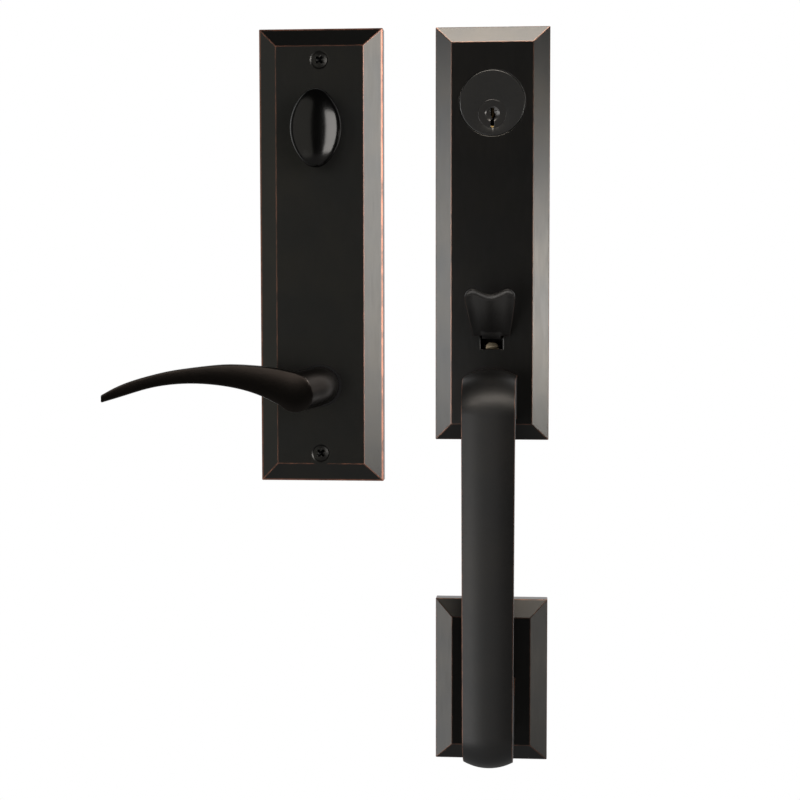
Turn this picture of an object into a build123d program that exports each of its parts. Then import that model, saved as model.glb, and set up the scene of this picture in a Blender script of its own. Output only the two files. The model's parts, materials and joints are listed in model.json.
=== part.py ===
from build123d import *
import math
import os

# Door set of two halves, side by side: an outside half with a grip, and an inside half with a lever.
# Millimetres. X runs to the right and Z up, Y runs into the door, and Y = 0 is the face of the door.
# The origin is where the outside spindle crosses the face of the door.
# Places in depth are given as "out", the distance in front of the door face, so Y = -out.

# Layout
bolt_centres = 139.7
halves_apart = 94.5
turn_below_plug = 8.2
inside_x = -halves_apart
inside_turn_z = bolt_centres - turn_below_plug
inside_latch_z = inside_turn_z - bolt_centres

# Plates
plate_side = 7.0
plate_rise = 6.2
plate_wall = 3.0
ridge_radius = 0.5
plate_side_gap = 5.25
outside_above_plug = 47.7
outside_below_latch = 38.1
outside_bevel = 9.0
inside_above_turn = 56.0
inside_below_latch = 53.5
inside_bevel = 10.1
rosette_width = 62.2
rosette_height = 90.4
rosette_bevel = 9.4
rosette_z = -172.2

face_out = plate_side + plate_rise
wall_out = face_out - plate_wall

# Fits and gaps
running = 0.05
slip = 0.25
thread_gap = 0.1
socket_gap = 0.03

# Key cylinder
cylinder_above_plug = 6.0
cylinder_face_radius = 17.7
cylinder_proud = 0.2
cylinder_flange = 3.0
cylinder_drum_radius = 15.5
cylinder_back = -16.0
cylinder_boss_radius = 21.0
cylinder_boss_length = 4.0
nut_radius = 20.5
nut_length = 4.0
nut_notch = 4.0
plug_radius = 6.4
plug_face_radius = 7.65
plug_face_length = 1.2
keyway_width = 2.0
keyway_step = 0.7
keyway_above = 3.2
keyway_below = 7.0
key_dish_radius = 4.2
key_dish_depth = 0.7
pin_count = 5
pin_pitch = 4.0
first_pin_out = 6.4
pin_radius = 1.45
pin_hole_floor = -1.8
driver_length = 5.5
chamber_cap_length = 1.2
spring_wall = 0.35
cylinder_bolt_spacing = 21.6
bolt_tap_radius = 2.1
bolt_tap_depth = 12.0
plug_cap_radius = 7.6
plug_cap_length = 3.5
tailpiece_width = 6.0
tailpiece_thick = 2.0
tailpiece_seat = 3.0
tailpiece_reach = 58.0

# Thumb latch
slot_width = 12.4
slot_low = 12.0
slot_high = 33.0
chassis_thick = 2.0
chassis_inset = 0.2
chassis_margin = 3.5
chassis_low = -14.0
chassis_high = 33.0
chassis_corner = 4.0
boss_radius = 3.6
screw_radius = 1.5
screw_head_radius = 2.7
screw_length = 7.0
post_radius = 4.5
post_neck_radius = 3.2
post_length = 12.0
pivot_z = 21.0
pivot_out = 6.5
pivot_radius = 1.5
eye_radius = 3.4
ear_thick = 2.0
ear_half_height = 3.5
ear_left = -8.7
ear_right = 14.0
lift_width = 4.5
lift_thick = 3.0
lift_top = 0.6
lift_inner = -6.0
lift_gap = 0.4
hub_journal_radius = 6.5
hub_flange_radius = 7.9
hub_flange_front = 8.0
hub_flange_back = 4.0
hub_lug_radius = 3.55
hub_lug_height = 12.35
hub_spring_wire = 0.5
hub_clip_thick = 0.9
hub_clip_radius = 7.6
cam_front = -4.0
cam_back = -8.0
cam_arm_reach = 12.0
cam_arm_thick = 4.5
spindle_width = 7.9
spindle_reach = 48.0

# Thumb pad
pad_root_out = 15.8
pad_root_low = 19.4
pad_root_high = 28.0
pad_root_width = 20.2
pad_tip_out = 43.0
pad_nose = 2.8
pad_nose_steps = 5
stem_width = 10.0
stem_low = 17.9
stem_high = 26.0

# Grip
grip_top = 1.4
grip_bottom = -211.0
grip_out = 66.0
grip_width_top = 28.2
grip_width_bottom = 26.2
grip_crown = 3.8
grip_thick = 14.5
grip_bend = 22.0
grip_foot_rise = 20.0
grip_leg_height = 28.0
grip_leg_taper = 9.0
grip_hand_gap_bend = 20.0
grip_screw_first = -10.5
grip_screw_pitch = 9.0
grip_screw_radius = 2.4
grip_screw_head = 4.0
grip_screw_head_height = 1.8
grip_screw_length = 16.0
stud_below_rosette = 8.8
stud_thread_radius = 4.0
stud_radius = 3.0
stud_bite = 18.0
stud_reach = 50.0
rosette_boss_radius = 8.0

# Inside lever
neck_radius = 10.4
journal_radius = 8.0
journal_back = -1.7
neck_shoulder = 9.0
bushing_wall = 0.8
bushing_flange_rim = 0.5
bushing_flange_thick = 0.9
lever_face_out = 53.4
lever_face_tip_out = 50.2
lever_length = 113.4
lever_flat_share = 0.45
lever_crown_share = 0.15
lever_socket_front = 34.0
cup_wall = 1.2
cup_front = 8.4
driver_rim = 2.4
driver_flat = 7.0
driver_front = 6.6
driver_back = 3.0
driver_lug_width = 4.0
driver_lug_length = 2.2
lug_gap = 0.6
lever_spring_wire = 0.6
snap_ring_thick = 0.8
snap_ring_rim = 2.0
snap_groove_depth = 0.8
cup_bolt_gap = 1.0
lever_plate_margin = 6.5
lever_plate_height = 42.0
turn_plate_height = 30.0
bolt_radius = 2.5
bolt_head_radius = 4.1
bolt_head_length = 3.0
bolt_reach = 40.0

# Inside turn piece
turn_stem_radius = 4.5
turn_height = 42.4
turn_width = 28.0
turn_flatten = 0.52
turn_out = 27.5
turn_tip_radius = 8.8
turn_boss_radius = 8.0
turn_boss_length = 2.7
turn_clip_thick = 0.7
turn_clip_radius = 7.4
turn_groove_depth = 0.8
turn_stem_back = 0.6
turn_slot_depth = 7.0

# Plate screws
plate_screw_top = 38.2
plate_screw_bottom = 37.6
plate_screw_radius = 2.1
plate_screw_head = 4.2
plate_screw_head_height = 2.4
plate_screw_sink = 4.8
plate_screw_length = 38.0
plate_screw_boss = 5.6
cross_width = 1.3
cross_span = 4.8
cross_depth = 2.0


def front(out):
    """Plane that faces the viewer, at the given distance in front of the door."""
    return Plane.XZ.offset(out)


def bar(sketch, x, z, back, ahead):
    """Solid of a flat outline, from one place in depth to another."""
    return extrude(front(back) * Pos(x, z) * sketch, amount=ahead - back)


def rod(x, z, radius, back, ahead):
    return bar(Circle(radius), x, z, back, ahead)


def ring(x, z, inner, outer, back, ahead):
    return rod(x, z, outer, back, ahead) - rod(x, z, inner, back, ahead)


def block(x, z, width, height, back, ahead):
    return bar(Rectangle(width, height), x, z, back, ahead)


def pair(make, spacing):
    """Two copies of a piece, the same distance to the left and right."""
    return make(-spacing / 2) + make(spacing / 2)


def bevelled(x, z, width, height, side, rise, bevel):
    """Rectangular block with straight sides and a bevel up to a flat face."""
    base = block(x, z, width, height, 0, side)
    low = front(side) * Pos(x, z) * Rectangle(width, height)
    high = front(side + rise) * Pos(x, z) * Rectangle(width - 2 * bevel, height - 2 * bevel)
    return base + loft([low, high], ruled=True)


def plate_shell(x, z, width, height, bevel):
    """Bevelled plate with softened ridges and a hollow back."""
    body = bevelled(x, z, width, height, plate_side, plate_rise, bevel)
    shown = [edge for edge in body.edges() if edge.center().Y < -plate_side / 3]
    body = fillet(shown, ridge_radius)
    slope = math.hypot(plate_rise, bevel)
    inner_side = plate_side - plate_wall * (slope - plate_rise) / bevel
    inner_bevel = bevel * (wall_out - inner_side) / plate_rise
    hollow = bevelled(x, z, width - 2 * plate_wall, height - 2 * plate_wall,
                      inner_side, wall_out - inner_side, inner_bevel)
    return body - hollow


# Places worked out from the sizes
driver_radius = journal_radius + driver_rim
driver_lug_reach = driver_radius + driver_lug_length
cup_radius = driver_lug_reach + lug_gap + cup_wall
lever_spring_radius = (driver_radius + cup_radius - cup_wall) / 2
snap_ring_radius = journal_radius + snap_ring_rim
bushing_flange_radius = neck_radius + bushing_wall + bushing_flange_rim
post_spacing = 2 * (cup_radius + cup_bolt_gap + bolt_head_radius)
chassis_width = post_spacing + 2 * chassis_margin
lever_plate_width = post_spacing + 2 * lever_plate_margin
outside_width = chassis_width + 2 * (plate_wall + plate_side_gap)
inside_width = lever_plate_width + 2 * (plate_wall + plate_side_gap)
chassis_back = chassis_inset
chassis_front = chassis_inset + chassis_thick
outside_top = bolt_centres + outside_above_plug
outside_centre_z = (outside_top - outside_below_latch) / 2
outside_height = outside_top + outside_below_latch
inside_top = inside_turn_z + inside_above_turn
inside_bottom = inside_latch_z - inside_below_latch
inside_centre_z = (inside_top + inside_bottom) / 2
inside_height = inside_top - inside_bottom
plug_z = bolt_centres
cylinder_z = plug_z + cylinder_above_plug
cylinder_front = face_out + cylinder_proud
cylinder_seat = cylinder_front - cylinder_flange
cylinder_boss_back = wall_out - cylinder_boss_length
chassis_z = (chassis_low + chassis_high) / 2
chassis_height = chassis_high - chassis_low
chassis_boss_x = chassis_width / 2 - chassis_corner
chassis_boss_z = chassis_height / 2 - chassis_corner
stud_z = rosette_z - stud_below_rosette
lift_left = hub_flange_radius + slip
bushing_back = cup_front + slip


# Small fasteners
def flush_screw(x, z):
    """Short screw whose cone sits in the steel plate and whose shank is in a boss."""
    cone = chassis_thick * 0.6
    head = extrude(front(chassis_back) * Pos(x, z) * Circle(screw_head_radius), amount=cone,
                   taper=math.degrees(math.atan2(screw_head_radius - screw_radius, cone)))
    shank = rod(x, z, screw_radius, chassis_back + cone, chassis_back + screw_length)
    cross = block(x, z, 2.6, 0.7, chassis_back, chassis_back + 1)
    cross += block(x, z, 0.7, 2.6, chassis_back, chassis_back + 1)
    return head + shank - cross


def flush_hole(x, z):
    """The hole that the short screw sits in."""
    cone = chassis_thick * 0.6
    grown = screw_head_radius + socket_gap
    sink = extrude(front(chassis_back) * Pos(x, z) * Circle(grown), amount=cone,
                   taper=math.degrees(math.atan2(screw_head_radius - screw_radius, cone)))
    return sink + rod(x, z, screw_radius + socket_gap, chassis_back, chassis_front)


def boss(x, z):
    """Boss inside a plate that a steel plate is screwed to."""
    return rod(x, z, boss_radius, chassis_front, wall_out)


def boss_hole(x, z):
    return rod(x, z, screw_radius + socket_gap, chassis_front, chassis_back + screw_length + 0.6)


def cap_bolt(x, z):
    """Round-headed bolt that goes through the door from the inside half."""
    head = rod(x, z, bolt_head_radius, chassis_front, chassis_front + bolt_head_length)
    top = head.faces().sort_by(Axis.Y)[0]
    head = fillet(top.edges(), bolt_head_length / 3)
    shank = rod(x, z, bolt_radius, chassis_front - bolt_reach, chassis_front)
    top_out = chassis_front + bolt_head_length
    return head + shank - block(x, z, 5.0, 1.2, top_out - bolt_head_length * 0.4, top_out)


chassis_screw_places = [(sx * chassis_boss_x, chassis_z + sz * chassis_boss_z)
                        for sx in (-1, 1) for sz in (-1, 1)]
lever_plate_boss_x = lever_plate_width / 2 - chassis_corner
lever_plate_boss_z = lever_plate_height / 2 - chassis_corner
lever_screw_places = [(inside_x + sx * lever_plate_boss_x, inside_latch_z + sz * lever_plate_boss_z)
                      for sx in (-1, 1) for sz in (-1, 1)]
turn_screw_places = [(inside_x + sx * lever_plate_boss_x, inside_turn_z) for sx in (-1, 1)]
plate_screw_places = [(inside_x, inside_turn_z + plate_screw_top),
                      (inside_x, inside_latch_z - plate_screw_bottom)]


# Outside half
def make_exterior_plate():
    plate = plate_shell(0, outside_centre_z, outside_width, outside_height, outside_bevel)
    plate += rod(0, cylinder_z, cylinder_boss_radius, cylinder_boss_back, wall_out + plate_wall / 2)
    for x, z in chassis_screw_places:
        plate += boss(x, z) + rod(x, z, boss_radius, wall_out, wall_out + plate_wall / 2)
        plate -= boss_hole(x, z)
    plate -= rod(0, cylinder_z, cylinder_face_radius + slip, cylinder_seat, face_out + 1)
    plate -= rod(0, cylinder_z, cylinder_drum_radius + slip, cylinder_boss_back, cylinder_seat)
    slot_z = (slot_low + slot_high) / 2
    plate -= block(0, slot_z, slot_width, slot_high - slot_low, wall_out - 1, face_out + 1)
    for z in grip_screw_heights():
        plate -= rod(0, z, grip_screw_radius + slip, wall_out - 1, face_out + 1)
    return plate


def grip_screw_heights():
    return [grip_screw_first, grip_screw_first - grip_screw_pitch]


def pin_places():
    return [first_pin_out - pin_pitch * i for i in range(pin_count)]


def upright(out, radius, low, high):
    """Short upright rod on the plug's centre plane, with heights taken from the plug's axis."""
    base = Plane(origin=(0, -out, plug_z + low), z_dir=(0, 0, 1))
    return extrude(base * Circle(radius), amount=high - low)


def drum_top():
    """Height of the drum's wall above the plug's axis, at the edge of a pin chamber."""
    return cylinder_above_plug + math.sqrt(cylinder_drum_radius ** 2 - pin_radius ** 2)


def make_cylinder_body():
    body = rod(0, cylinder_z, cylinder_drum_radius, cylinder_back, cylinder_seat)
    body += rod(0, cylinder_z, cylinder_face_radius, cylinder_seat, cylinder_front)
    rim = [edge for edge in body.edges() if edge.center().Y < -cylinder_front + 0.01]
    body = fillet(rim, ridge_radius)
    body -= rod(0, plug_z, plug_radius + running, cylinder_back, cylinder_front)
    body -= rod(0, plug_z, plug_face_radius + running, cylinder_front - plug_face_length - running, cylinder_front)
    for out in pin_places():
        body -= upright(out, pin_radius + running, plug_radius / 2, drum_top() + 1)
    for side in (-1, 1):
        body -= rod(side * cylinder_bolt_spacing / 2, cylinder_z, bolt_tap_radius,
                    cylinder_back, cylinder_back + bolt_tap_depth)
    return body


def keyway():
    """Outline of the key slot, with two steps in its sides, about the plug's axis."""
    half = keyway_width / 2
    points = [(-half, keyway_above), (half, keyway_above), (half, 1.0), (half + keyway_step, 0.3),
              (half + keyway_step, -1.6), (half, -2.3), (half, -keyway_below), (-half, -keyway_below),
              (-half, -3.6), (-half + keyway_step, -3.0), (-half + keyway_step, -1.4), (-half, -0.8)]
    return make_face(Polyline(*points, close=True))


def make_cylinder_plug():
    plug = rod(0, plug_z, plug_radius, cylinder_back, cylinder_front)
    plug += rod(0, plug_z, plug_face_radius, cylinder_front - plug_face_length, cylinder_front)
    plug -= bar(keyway(), 0, plug_z, cylinder_back + tailpiece_seat + 1, cylinder_front)
    dish = extrude(front(cylinder_front) * Pos(0, plug_z) * Circle(key_dish_radius),
                   amount=-key_dish_depth, taper=55)
    plug -= dish
    for out in pin_places():
        plug -= upright(out, pin_radius + running, pin_hole_floor, plug_radius)
    plug -= block(0, plug_z, tailpiece_thick + 2 * running, tailpiece_width + 2 * running,
                  cylinder_back, cylinder_back + tailpiece_seat)
    return plug


def make_key_pins():
    """Pins that the key lifts, with their flat tops at the plug's edge and pointed feet."""
    top = math.sqrt(plug_radius ** 2 - pin_radius ** 2) - running
    pins = []
    for i, out in enumerate(pin_places()):
        foot = pin_hole_floor + 0.2 + 0.35 * (i % 3)
        pin = upright(out, pin_radius, foot, top)
        low = [edge for edge in pin.edges().filter_by(GeomType.CIRCLE) if edge.center().Z < plug_z + foot + 0.1]
        pins.append(chamfer(low, pin_radius * 0.6))
    return Compound(children=pins)


def make_driver_pins():
    bottom = plug_radius + 2 * running
    return Compound(children=[upright(out, pin_radius, bottom, bottom + driver_length) for out in pin_places()])


def make_chamber_caps():
    top = drum_top() - running
    return Compound(children=[upright(out, pin_radius, top - chamber_cap_length, top) for out in pin_places()])


def make_pin_springs():
    """Each chamber's small coil spring, shown as the sleeve that it fills."""
    low = plug_radius + 2 * running + driver_length
    high = drum_top() - running - chamber_cap_length
    outer = pin_radius - running
    inner = outer - spring_wall
    return Compound(children=[upright(out, outer, low, high) - upright(out, inner, low, high)
                              for out in pin_places()])


def make_cylinder_nut():
    """Ring nut on the drum's thread, with four notches for a pin spanner."""
    nut = ring(0, cylinder_z, cylinder_drum_radius + thread_gap, nut_radius,
               cylinder_boss_back - nut_length, cylinder_boss_back)
    for i in range(4):
        angle = math.radians(45 + 90 * i)
        x = nut_radius * math.cos(angle)
        z = cylinder_z + nut_radius * math.sin(angle)
        notch = Rot(0, 0, math.degrees(angle)) * Rectangle(nut_notch, nut_notch)
        nut -= bar(notch, x, z, cylinder_boss_back - nut_length, cylinder_boss_back)
    return nut


def make_plug_cap():
    """Cap behind the plug that keeps it in the drum and holds the tailpiece."""
    back = cylinder_back - slip - plug_cap_length
    cap = rod(0, plug_z, plug_cap_radius, back, cylinder_back - slip)
    cap += rod(0, plug_z, plug_radius - 1, cylinder_back - slip, cylinder_back)
    return cap - block(0, plug_z, tailpiece_thick + 2 * running, tailpiece_width + 2 * running, back, cylinder_back)


def make_cylinder_tailpiece():
    tail = block(0, plug_z, tailpiece_thick, tailpiece_width,
                 cylinder_back - tailpiece_reach, cylinder_back + tailpiece_seat - running)
    ends = [edge for edge in tail.edges().filter_by(Axis.X) if edge.center().Y > tailpiece_reach]
    return chamfer(ends, tailpiece_width / 6)


def make_latch_chassis():
    """Steel plate across the back of the outside plate, with two ears for the thumb pivot."""
    outline = RectangleRounded(chassis_width, chassis_height, chassis_corner)
    plate = bar(outline, 0, chassis_z, chassis_back, chassis_front)
    for x in (ear_left, ear_right):
        centre = x + ear_thick / 2
        ear = block(centre, pivot_z, ear_thick, 2 * ear_half_height, chassis_front, pivot_out)
        nose = Plane(origin=(x, -pivot_out, pivot_z), x_dir=(0, 1, 0), z_dir=(1, 0, 0))
        ear += extrude(nose * Circle(ear_half_height), amount=ear_thick)
        plate += ear
    pin_hole = Plane(origin=(ear_left, -pivot_out, pivot_z), x_dir=(0, 1, 0), z_dir=(1, 0, 0))
    plate -= extrude(pin_hole * Circle(pivot_radius + socket_gap), amount=ear_right + ear_thick - ear_left)
    plate -= rod(0, 0, hub_journal_radius + running, chassis_back, chassis_front)
    window_low = lift_top - lift_thick - 1.2
    window_high = lift_top + 11.0
    plate -= block(lift_left + lift_width / 2, (window_low + window_high) / 2, lift_width + 1.2,
                   window_high - window_low, chassis_back, chassis_front)
    for x in (-post_spacing / 2, post_spacing / 2):
        plate -= rod(x, 0, post_neck_radius + socket_gap, chassis_back, chassis_front)
    for x, z in chassis_screw_places:
        plate -= flush_hole(x, z)
    return plate


def make_mounting_posts():
    def post(x):
        body = rod(x, 0, post_radius, chassis_back - post_length, chassis_back)
        body += rod(x, 0, post_neck_radius, chassis_back, chassis_front)
        body += rod(x, 0, post_radius - 0.5, chassis_front, chassis_front + 0.8)
        return body - rod(x, 0, bolt_tap_radius, chassis_back - post_length, chassis_back)
    return pair(post, post_spacing)


def make_thumb_pivot_pin():
    base = Plane(origin=(ear_left - 0.8, -pivot_out, pivot_z), x_dir=(0, 1, 0), z_dir=(1, 0, 0))
    return extrude(base * Circle(pivot_radius), amount=ear_right + ear_thick + 0.8 - ear_left + 0.8)


# Right half of the thumb pad's lip, from its ear to its middle: upper edge and lower edge
lip_outline = [
    ((13.25, 40.9), (13.2, 40.0)),
    ((12.5, 43.3), (12.0, 41.2)),
    ((9.9, 44.9), (9.6, 41.8)),
    ((6.0, 43.9), (6.0, 40.7)),
    ((3.0, 42.6), (3.0, 39.5)),
    ((0.0, 42.0), (0.0, 38.9)),
]


def lip_slice(out, share):
    """Saddle-shaped slice of the pad's lip, whose upper edge is lowered by a share of its height."""
    slope = (lip_outline[-1][1][1] - pad_root_low) / (pad_tip_out - pad_root_out)
    drop = slope * (pad_tip_out - out)
    upper = []
    lower = []
    for (x_high, high), (x_low, low) in lip_outline:
        upper.append((x_high + (x_low - x_high) * share, high + (low - high) * share))
        lower.append((x_low, low - drop))
    upper += [(-x, z) for x, z in reversed(upper[:-1])]
    lower += [(-x, z) for x, z in reversed(lower[:-1])]
    edges = [Spline(*upper), Line(upper[-1], lower[-1]), Spline(*reversed(lower)), Line(lower[0], upper[0])]
    return front(out) * make_face(Wire(edges))


def thumb_pad():
    """Dished pad that widens from its root by the plate to a rounded, saddle-shaped lip."""
    half = pad_root_width / 2
    root = Wire([ThreePointArc((half, pad_root_high), (0, pad_root_high - 2), (-half, pad_root_high)),
                 Line((-half, pad_root_high), (-half, pad_root_low)),
                 Line((-half, pad_root_low), (half, pad_root_low)),
                 Line((half, pad_root_low), (half, pad_root_high))])
    slices = [front(pad_root_out) * make_face(root)]
    for step in range(pad_nose_steps + 1):
        angle = math.pi / 2 * step / pad_nose_steps
        out = pad_tip_out - pad_nose + pad_nose * math.sin(angle)
        slices.append(lip_slice(out, 0.9 * (1 - math.cos(angle))))
    return loft(slices, ruled=True)


def make_thumbpiece():
    """Thumb pad, stem, pivot eye and the foot that lifts the cam, cast as one."""
    pad = thumb_pad()
    stem = block(0, (stem_low + stem_high) / 2, stem_width, stem_high - stem_low, pivot_out, pad_root_out + 2)
    eye_left = ear_left + ear_thick + slip
    eye_right = ear_right - slip
    eye = Plane(origin=(eye_left, -pivot_out, pivot_z), x_dir=(0, 1, 0), z_dir=(1, 0, 0))
    barrel = extrude(eye * Circle(eye_radius), amount=eye_right - eye_left)
    web_front = pivot_out + eye_radius - 0.5
    web = block(lift_left + lift_width / 2, (pivot_z + lift_top - lift_thick) / 2, lift_width,
                pivot_z - lift_top + lift_thick, web_front - lift_thick, web_front)
    foot = block(lift_left + lift_width / 2, lift_top - lift_thick / 2, lift_width, lift_thick,
                 lift_inner, web_front)
    body = pad + stem + barrel + web + foot
    return body - extrude(eye * Circle(pivot_radius + running), amount=eye_right - eye_left)


def square(size):
    return Rectangle(size, size)


def make_spindle_hub():
    """Brass hub with the round lug that shows in the slot."""
    hub = rod(0, 0, hub_flange_radius, hub_flange_back, hub_flange_front)
    hub += rod(0, 0, hub_journal_radius, chassis_back - 2.2, hub_flange_back)
    hub += block(0, hub_lug_height / 2, 2 * hub_lug_radius, hub_lug_height, hub_flange_back, hub_flange_front)
    hub += rod(0, hub_lug_height, hub_lug_radius, hub_flange_back, hub_flange_front)
    hub -= ring(0, 0, hub_journal_radius - 0.8, hub_journal_radius + 1,
                chassis_back - running - hub_clip_thick - 0.1, chassis_back - running)
    return hub - bar(square(spindle_width + 2 * running), 0, 0, chassis_back - 3, hub_flange_front - 1.5)


def make_hub_clip():
    """Split ring in the hub's groove, behind the steel plate."""
    clip_front = chassis_back - 2 * running
    clip = ring(0, 0, hub_journal_radius - 0.75, hub_clip_radius, clip_front - hub_clip_thick, clip_front)
    return clip - block(0, -hub_clip_radius, 5.0, hub_clip_radius, clip_front - hub_clip_thick, clip_front)


def make_lift_cam():
    """Cam on the spindle whose arm rests over the thumb foot."""
    cam = rod(0, 0, hub_journal_radius + 1.2, cam_back, cam_front)
    arm_low = lift_top + lift_gap
    cam += block(cam_arm_reach / 2, arm_low + cam_arm_thick / 2, cam_arm_reach, cam_arm_thick, cam_back, cam_front)
    return cam - bar(square(spindle_width + 2 * running), 0, 0, cam_back, cam_front)


def make_latch_spindle():
    return bar(square(spindle_width), 0, 0, -spindle_reach, hub_flange_front - 1.6)


def hairpin(x, z, out, wire, radius, gap, leg, towards):
    """Wire spring in one loop, whose two ends turn to the same side and stand apart by a gap."""
    half = math.asin(gap / 2 / radius)
    start = towards + half
    end = towards - half + 2 * math.pi

    def at(angle, reach):
        return (x + reach * math.cos(angle), -out, z + reach * math.sin(angle))
    ahead = (math.cos(towards), 0, math.sin(towards))
    first = at(start, radius)
    last = at(end, radius)
    middle = at(towards + math.pi, radius)
    first_tip = (first[0] + leg * ahead[0], -out, first[2] + leg * ahead[2])
    last_tip = (last[0] + leg * ahead[0], -out, last[2] + leg * ahead[2])
    legs = []
    for tip, foot in ((first_tip, first), (last_tip, last)):
        run = Line(foot, tip)
        legs.append(sweep(Plane(origin=run @ 0, z_dir=run % 0) * Circle(wire), path=run))
    loop = ThreePointArc(first, middle, last)
    return sweep(Plane(origin=loop @ 0, z_dir=loop % 0) * Circle(wire), path=loop) + legs[0] + legs[1]


def make_hub_spring():
    """Hairpin spring round the hub whose legs centre the lug."""
    out = (chassis_front + hub_flange_back) / 2
    radius = hub_journal_radius + slip + hub_spring_wire
    gap = 2 * (hub_lug_radius + hub_spring_wire + running)
    return hairpin(0, 0, out, hub_spring_wire, radius, gap, hub_lug_height - 4, math.pi / 2)


# Grip and its lower rosette
def grip_path():
    """Line of the crown, from the upper plate round to the rosette, in depth and height."""
    lean = math.radians(grip_foot_rise)
    turn = math.pi / 2 + lean
    start = (0, -face_out + 4, grip_top)
    bend_top = (0, -grip_out + grip_bend, grip_top)
    first_end = (0, -grip_out, grip_top - grip_bend)
    second_start = (0, -grip_out, grip_bottom + grip_bend)
    middle = (-grip_out + grip_bend, grip_bottom + grip_bend)

    def on_bend(angle):
        return (0, middle[0] - grip_bend * math.cos(angle), middle[1] - grip_bend * math.sin(angle))
    second_end = on_bend(turn)
    reach = (-face_out + 8 - second_end[1]) / math.cos(lean)
    finish = (0, second_end[1] + reach * math.cos(lean), second_end[2] + reach * math.sin(lean))
    diagonal = grip_bend * (1 - math.sqrt(0.5))
    first_middle = (0, -grip_out + diagonal, grip_top - diagonal)
    return Wire([Line(start, bend_top), ThreePointArc(bend_top, first_middle, first_end),
                 Line(first_end, second_start), ThreePointArc(second_start, on_bend(turn / 2), second_end),
                 Line(second_end, finish)])


def grip_foot_top():
    """Height on the rosette's face of the grip's lower leg, at its crown."""
    path = grip_path()
    end = path @ 1
    lean = math.radians(grip_foot_rise)
    return end.Z - (end.Y + face_out) * math.tan(lean)


def make_grip():
    """Bowed pull with a crowned front that wraps over both bends, and a leg at each end."""
    width = max(grip_width_top, grip_width_bottom)
    half = width / 2
    section = make_face(Wire([ThreePointArc((-half, -grip_crown), (0, 0), (half, -grip_crown)),
                              Line((half, -grip_crown), (half, -grip_thick)),
                              Line((half, -grip_thick), (-half, -grip_thick)),
                              Line((-half, -grip_thick), (-half, -grip_crown))]))
    path = grip_path()
    start = Plane(origin=path @ 0, x_dir=(1, 0, 0), z_dir=(0, -1, 0))
    body = sweep(start * section, path=path)
    inner = -grip_out + grip_thick
    top = grip_top - grip_thick
    foot = grip_foot_top()
    bar_y = inner
    upper = [(-face_out + 2, top + 4), (-face_out + 2, grip_top - grip_leg_height),
             (bar_y, grip_top - grip_leg_height + grip_leg_taper), (bar_y, grip_top - 3 * grip_leg_height),
             (bar_y - grip_thick / 3, grip_top - 3 * grip_leg_height), (bar_y - grip_thick / 3, top + 4)]
    lower = [(-face_out + 2, foot + grip_thick - 4), (-face_out + 2, foot + grip_leg_height + 4),
             (bar_y, foot + grip_leg_height - grip_leg_taper), (bar_y, foot + 3 * grip_leg_height),
             (bar_y - grip_thick / 3, foot + 3 * grip_leg_height), (bar_y - grip_thick / 3, foot)]
    for points in (upper, lower):
        outline = make_face(Polyline(*points, close=True))
        corner = outline.vertices().sort_by_distance((points[2][0], points[2][1], 0))[0]
        outline = fillet(corner, grip_hand_gap_bend)
        side = Plane(origin=(-half, 0, 0), x_dir=(0, 1, 0), z_dir=(1, 0, 0))
        body += extrude(side * outline, amount=width)
    tall = grip_top - grip_bottom + 20
    taper = [(-grip_width_top / 2, tall / 2), (grip_width_top / 2, tall / 2),
             (grip_width_bottom / 2, -tall / 2), (-grip_width_bottom / 2, -tall / 2)]
    envelope = bar(make_face(Polyline(*taper, close=True)), 0, (grip_top + grip_bottom) / 2, face_out, grip_out + 5)
    body = body & envelope
    for z in grip_screw_heights():
        body -= rod(0, z, grip_screw_radius + socket_gap, face_out, wall_out + grip_screw_length + 1)
    body -= rod(0, stud_z, stud_thread_radius + socket_gap, face_out, face_out + stud_bite + 1)
    return body


def make_grip_screws():
    """Two screws from inside the upper plate into the grip's leg."""
    screws = []
    for z in grip_screw_heights():
        screw = rod(0, z, grip_screw_radius, wall_out, wall_out + grip_screw_length)
        head = rod(0, z, grip_screw_head, wall_out - grip_screw_head_height, wall_out)
        socket = bar(RegularPolygon(1.6, 6), 0, z, wall_out - grip_screw_head_height, wall_out - 0.4)
        screws.append(screw + head - socket)
    return Compound(children=screws)


def make_lower_rosette():
    rosette = plate_shell(0, rosette_z, rosette_width, rosette_height, rosette_bevel)
    rosette += rod(0, stud_z, rosette_boss_radius, 1.0, wall_out + plate_wall / 2)
    return rosette - rod(0, stud_z, stud_thread_radius + slip, 0, face_out + 1)


def make_lower_stud():
    """Stud that is screwed into the grip's foot through the rosette, with a thinner end for the door."""
    return (rod(0, stud_z, stud_thread_radius, 0, face_out + stud_bite)
            + rod(0, stud_z, stud_radius, -stud_reach, 0))


# Inside half
def make_interior_plate():
    plate = plate_shell(inside_x, inside_centre_z, inside_width, inside_height, inside_bevel)
    for x, z in lever_screw_places + turn_screw_places:
        plate += boss(x, z) + rod(x, z, boss_radius, wall_out, wall_out + plate_wall / 2)
        plate -= boss_hole(x, z)
    plate += rod(inside_x, inside_turn_z, turn_boss_radius, wall_out - turn_boss_length, wall_out + plate_wall / 2)
    plate -= rod(inside_x, inside_turn_z, turn_stem_radius + running, 0, face_out + 1)
    plate -= rod(inside_x, inside_latch_z, neck_radius + running + bushing_wall + socket_gap, 0, face_out + 1)
    for x, z in plate_screw_places:
        plate += rod(x, z, plate_screw_boss, 0.0, wall_out + plate_wall / 2)
        plate -= rod(x, z, plate_screw_radius + slip, 0, face_out + 1)
        plate -= screw_sink(x, z, slip)
    return plate


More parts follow.
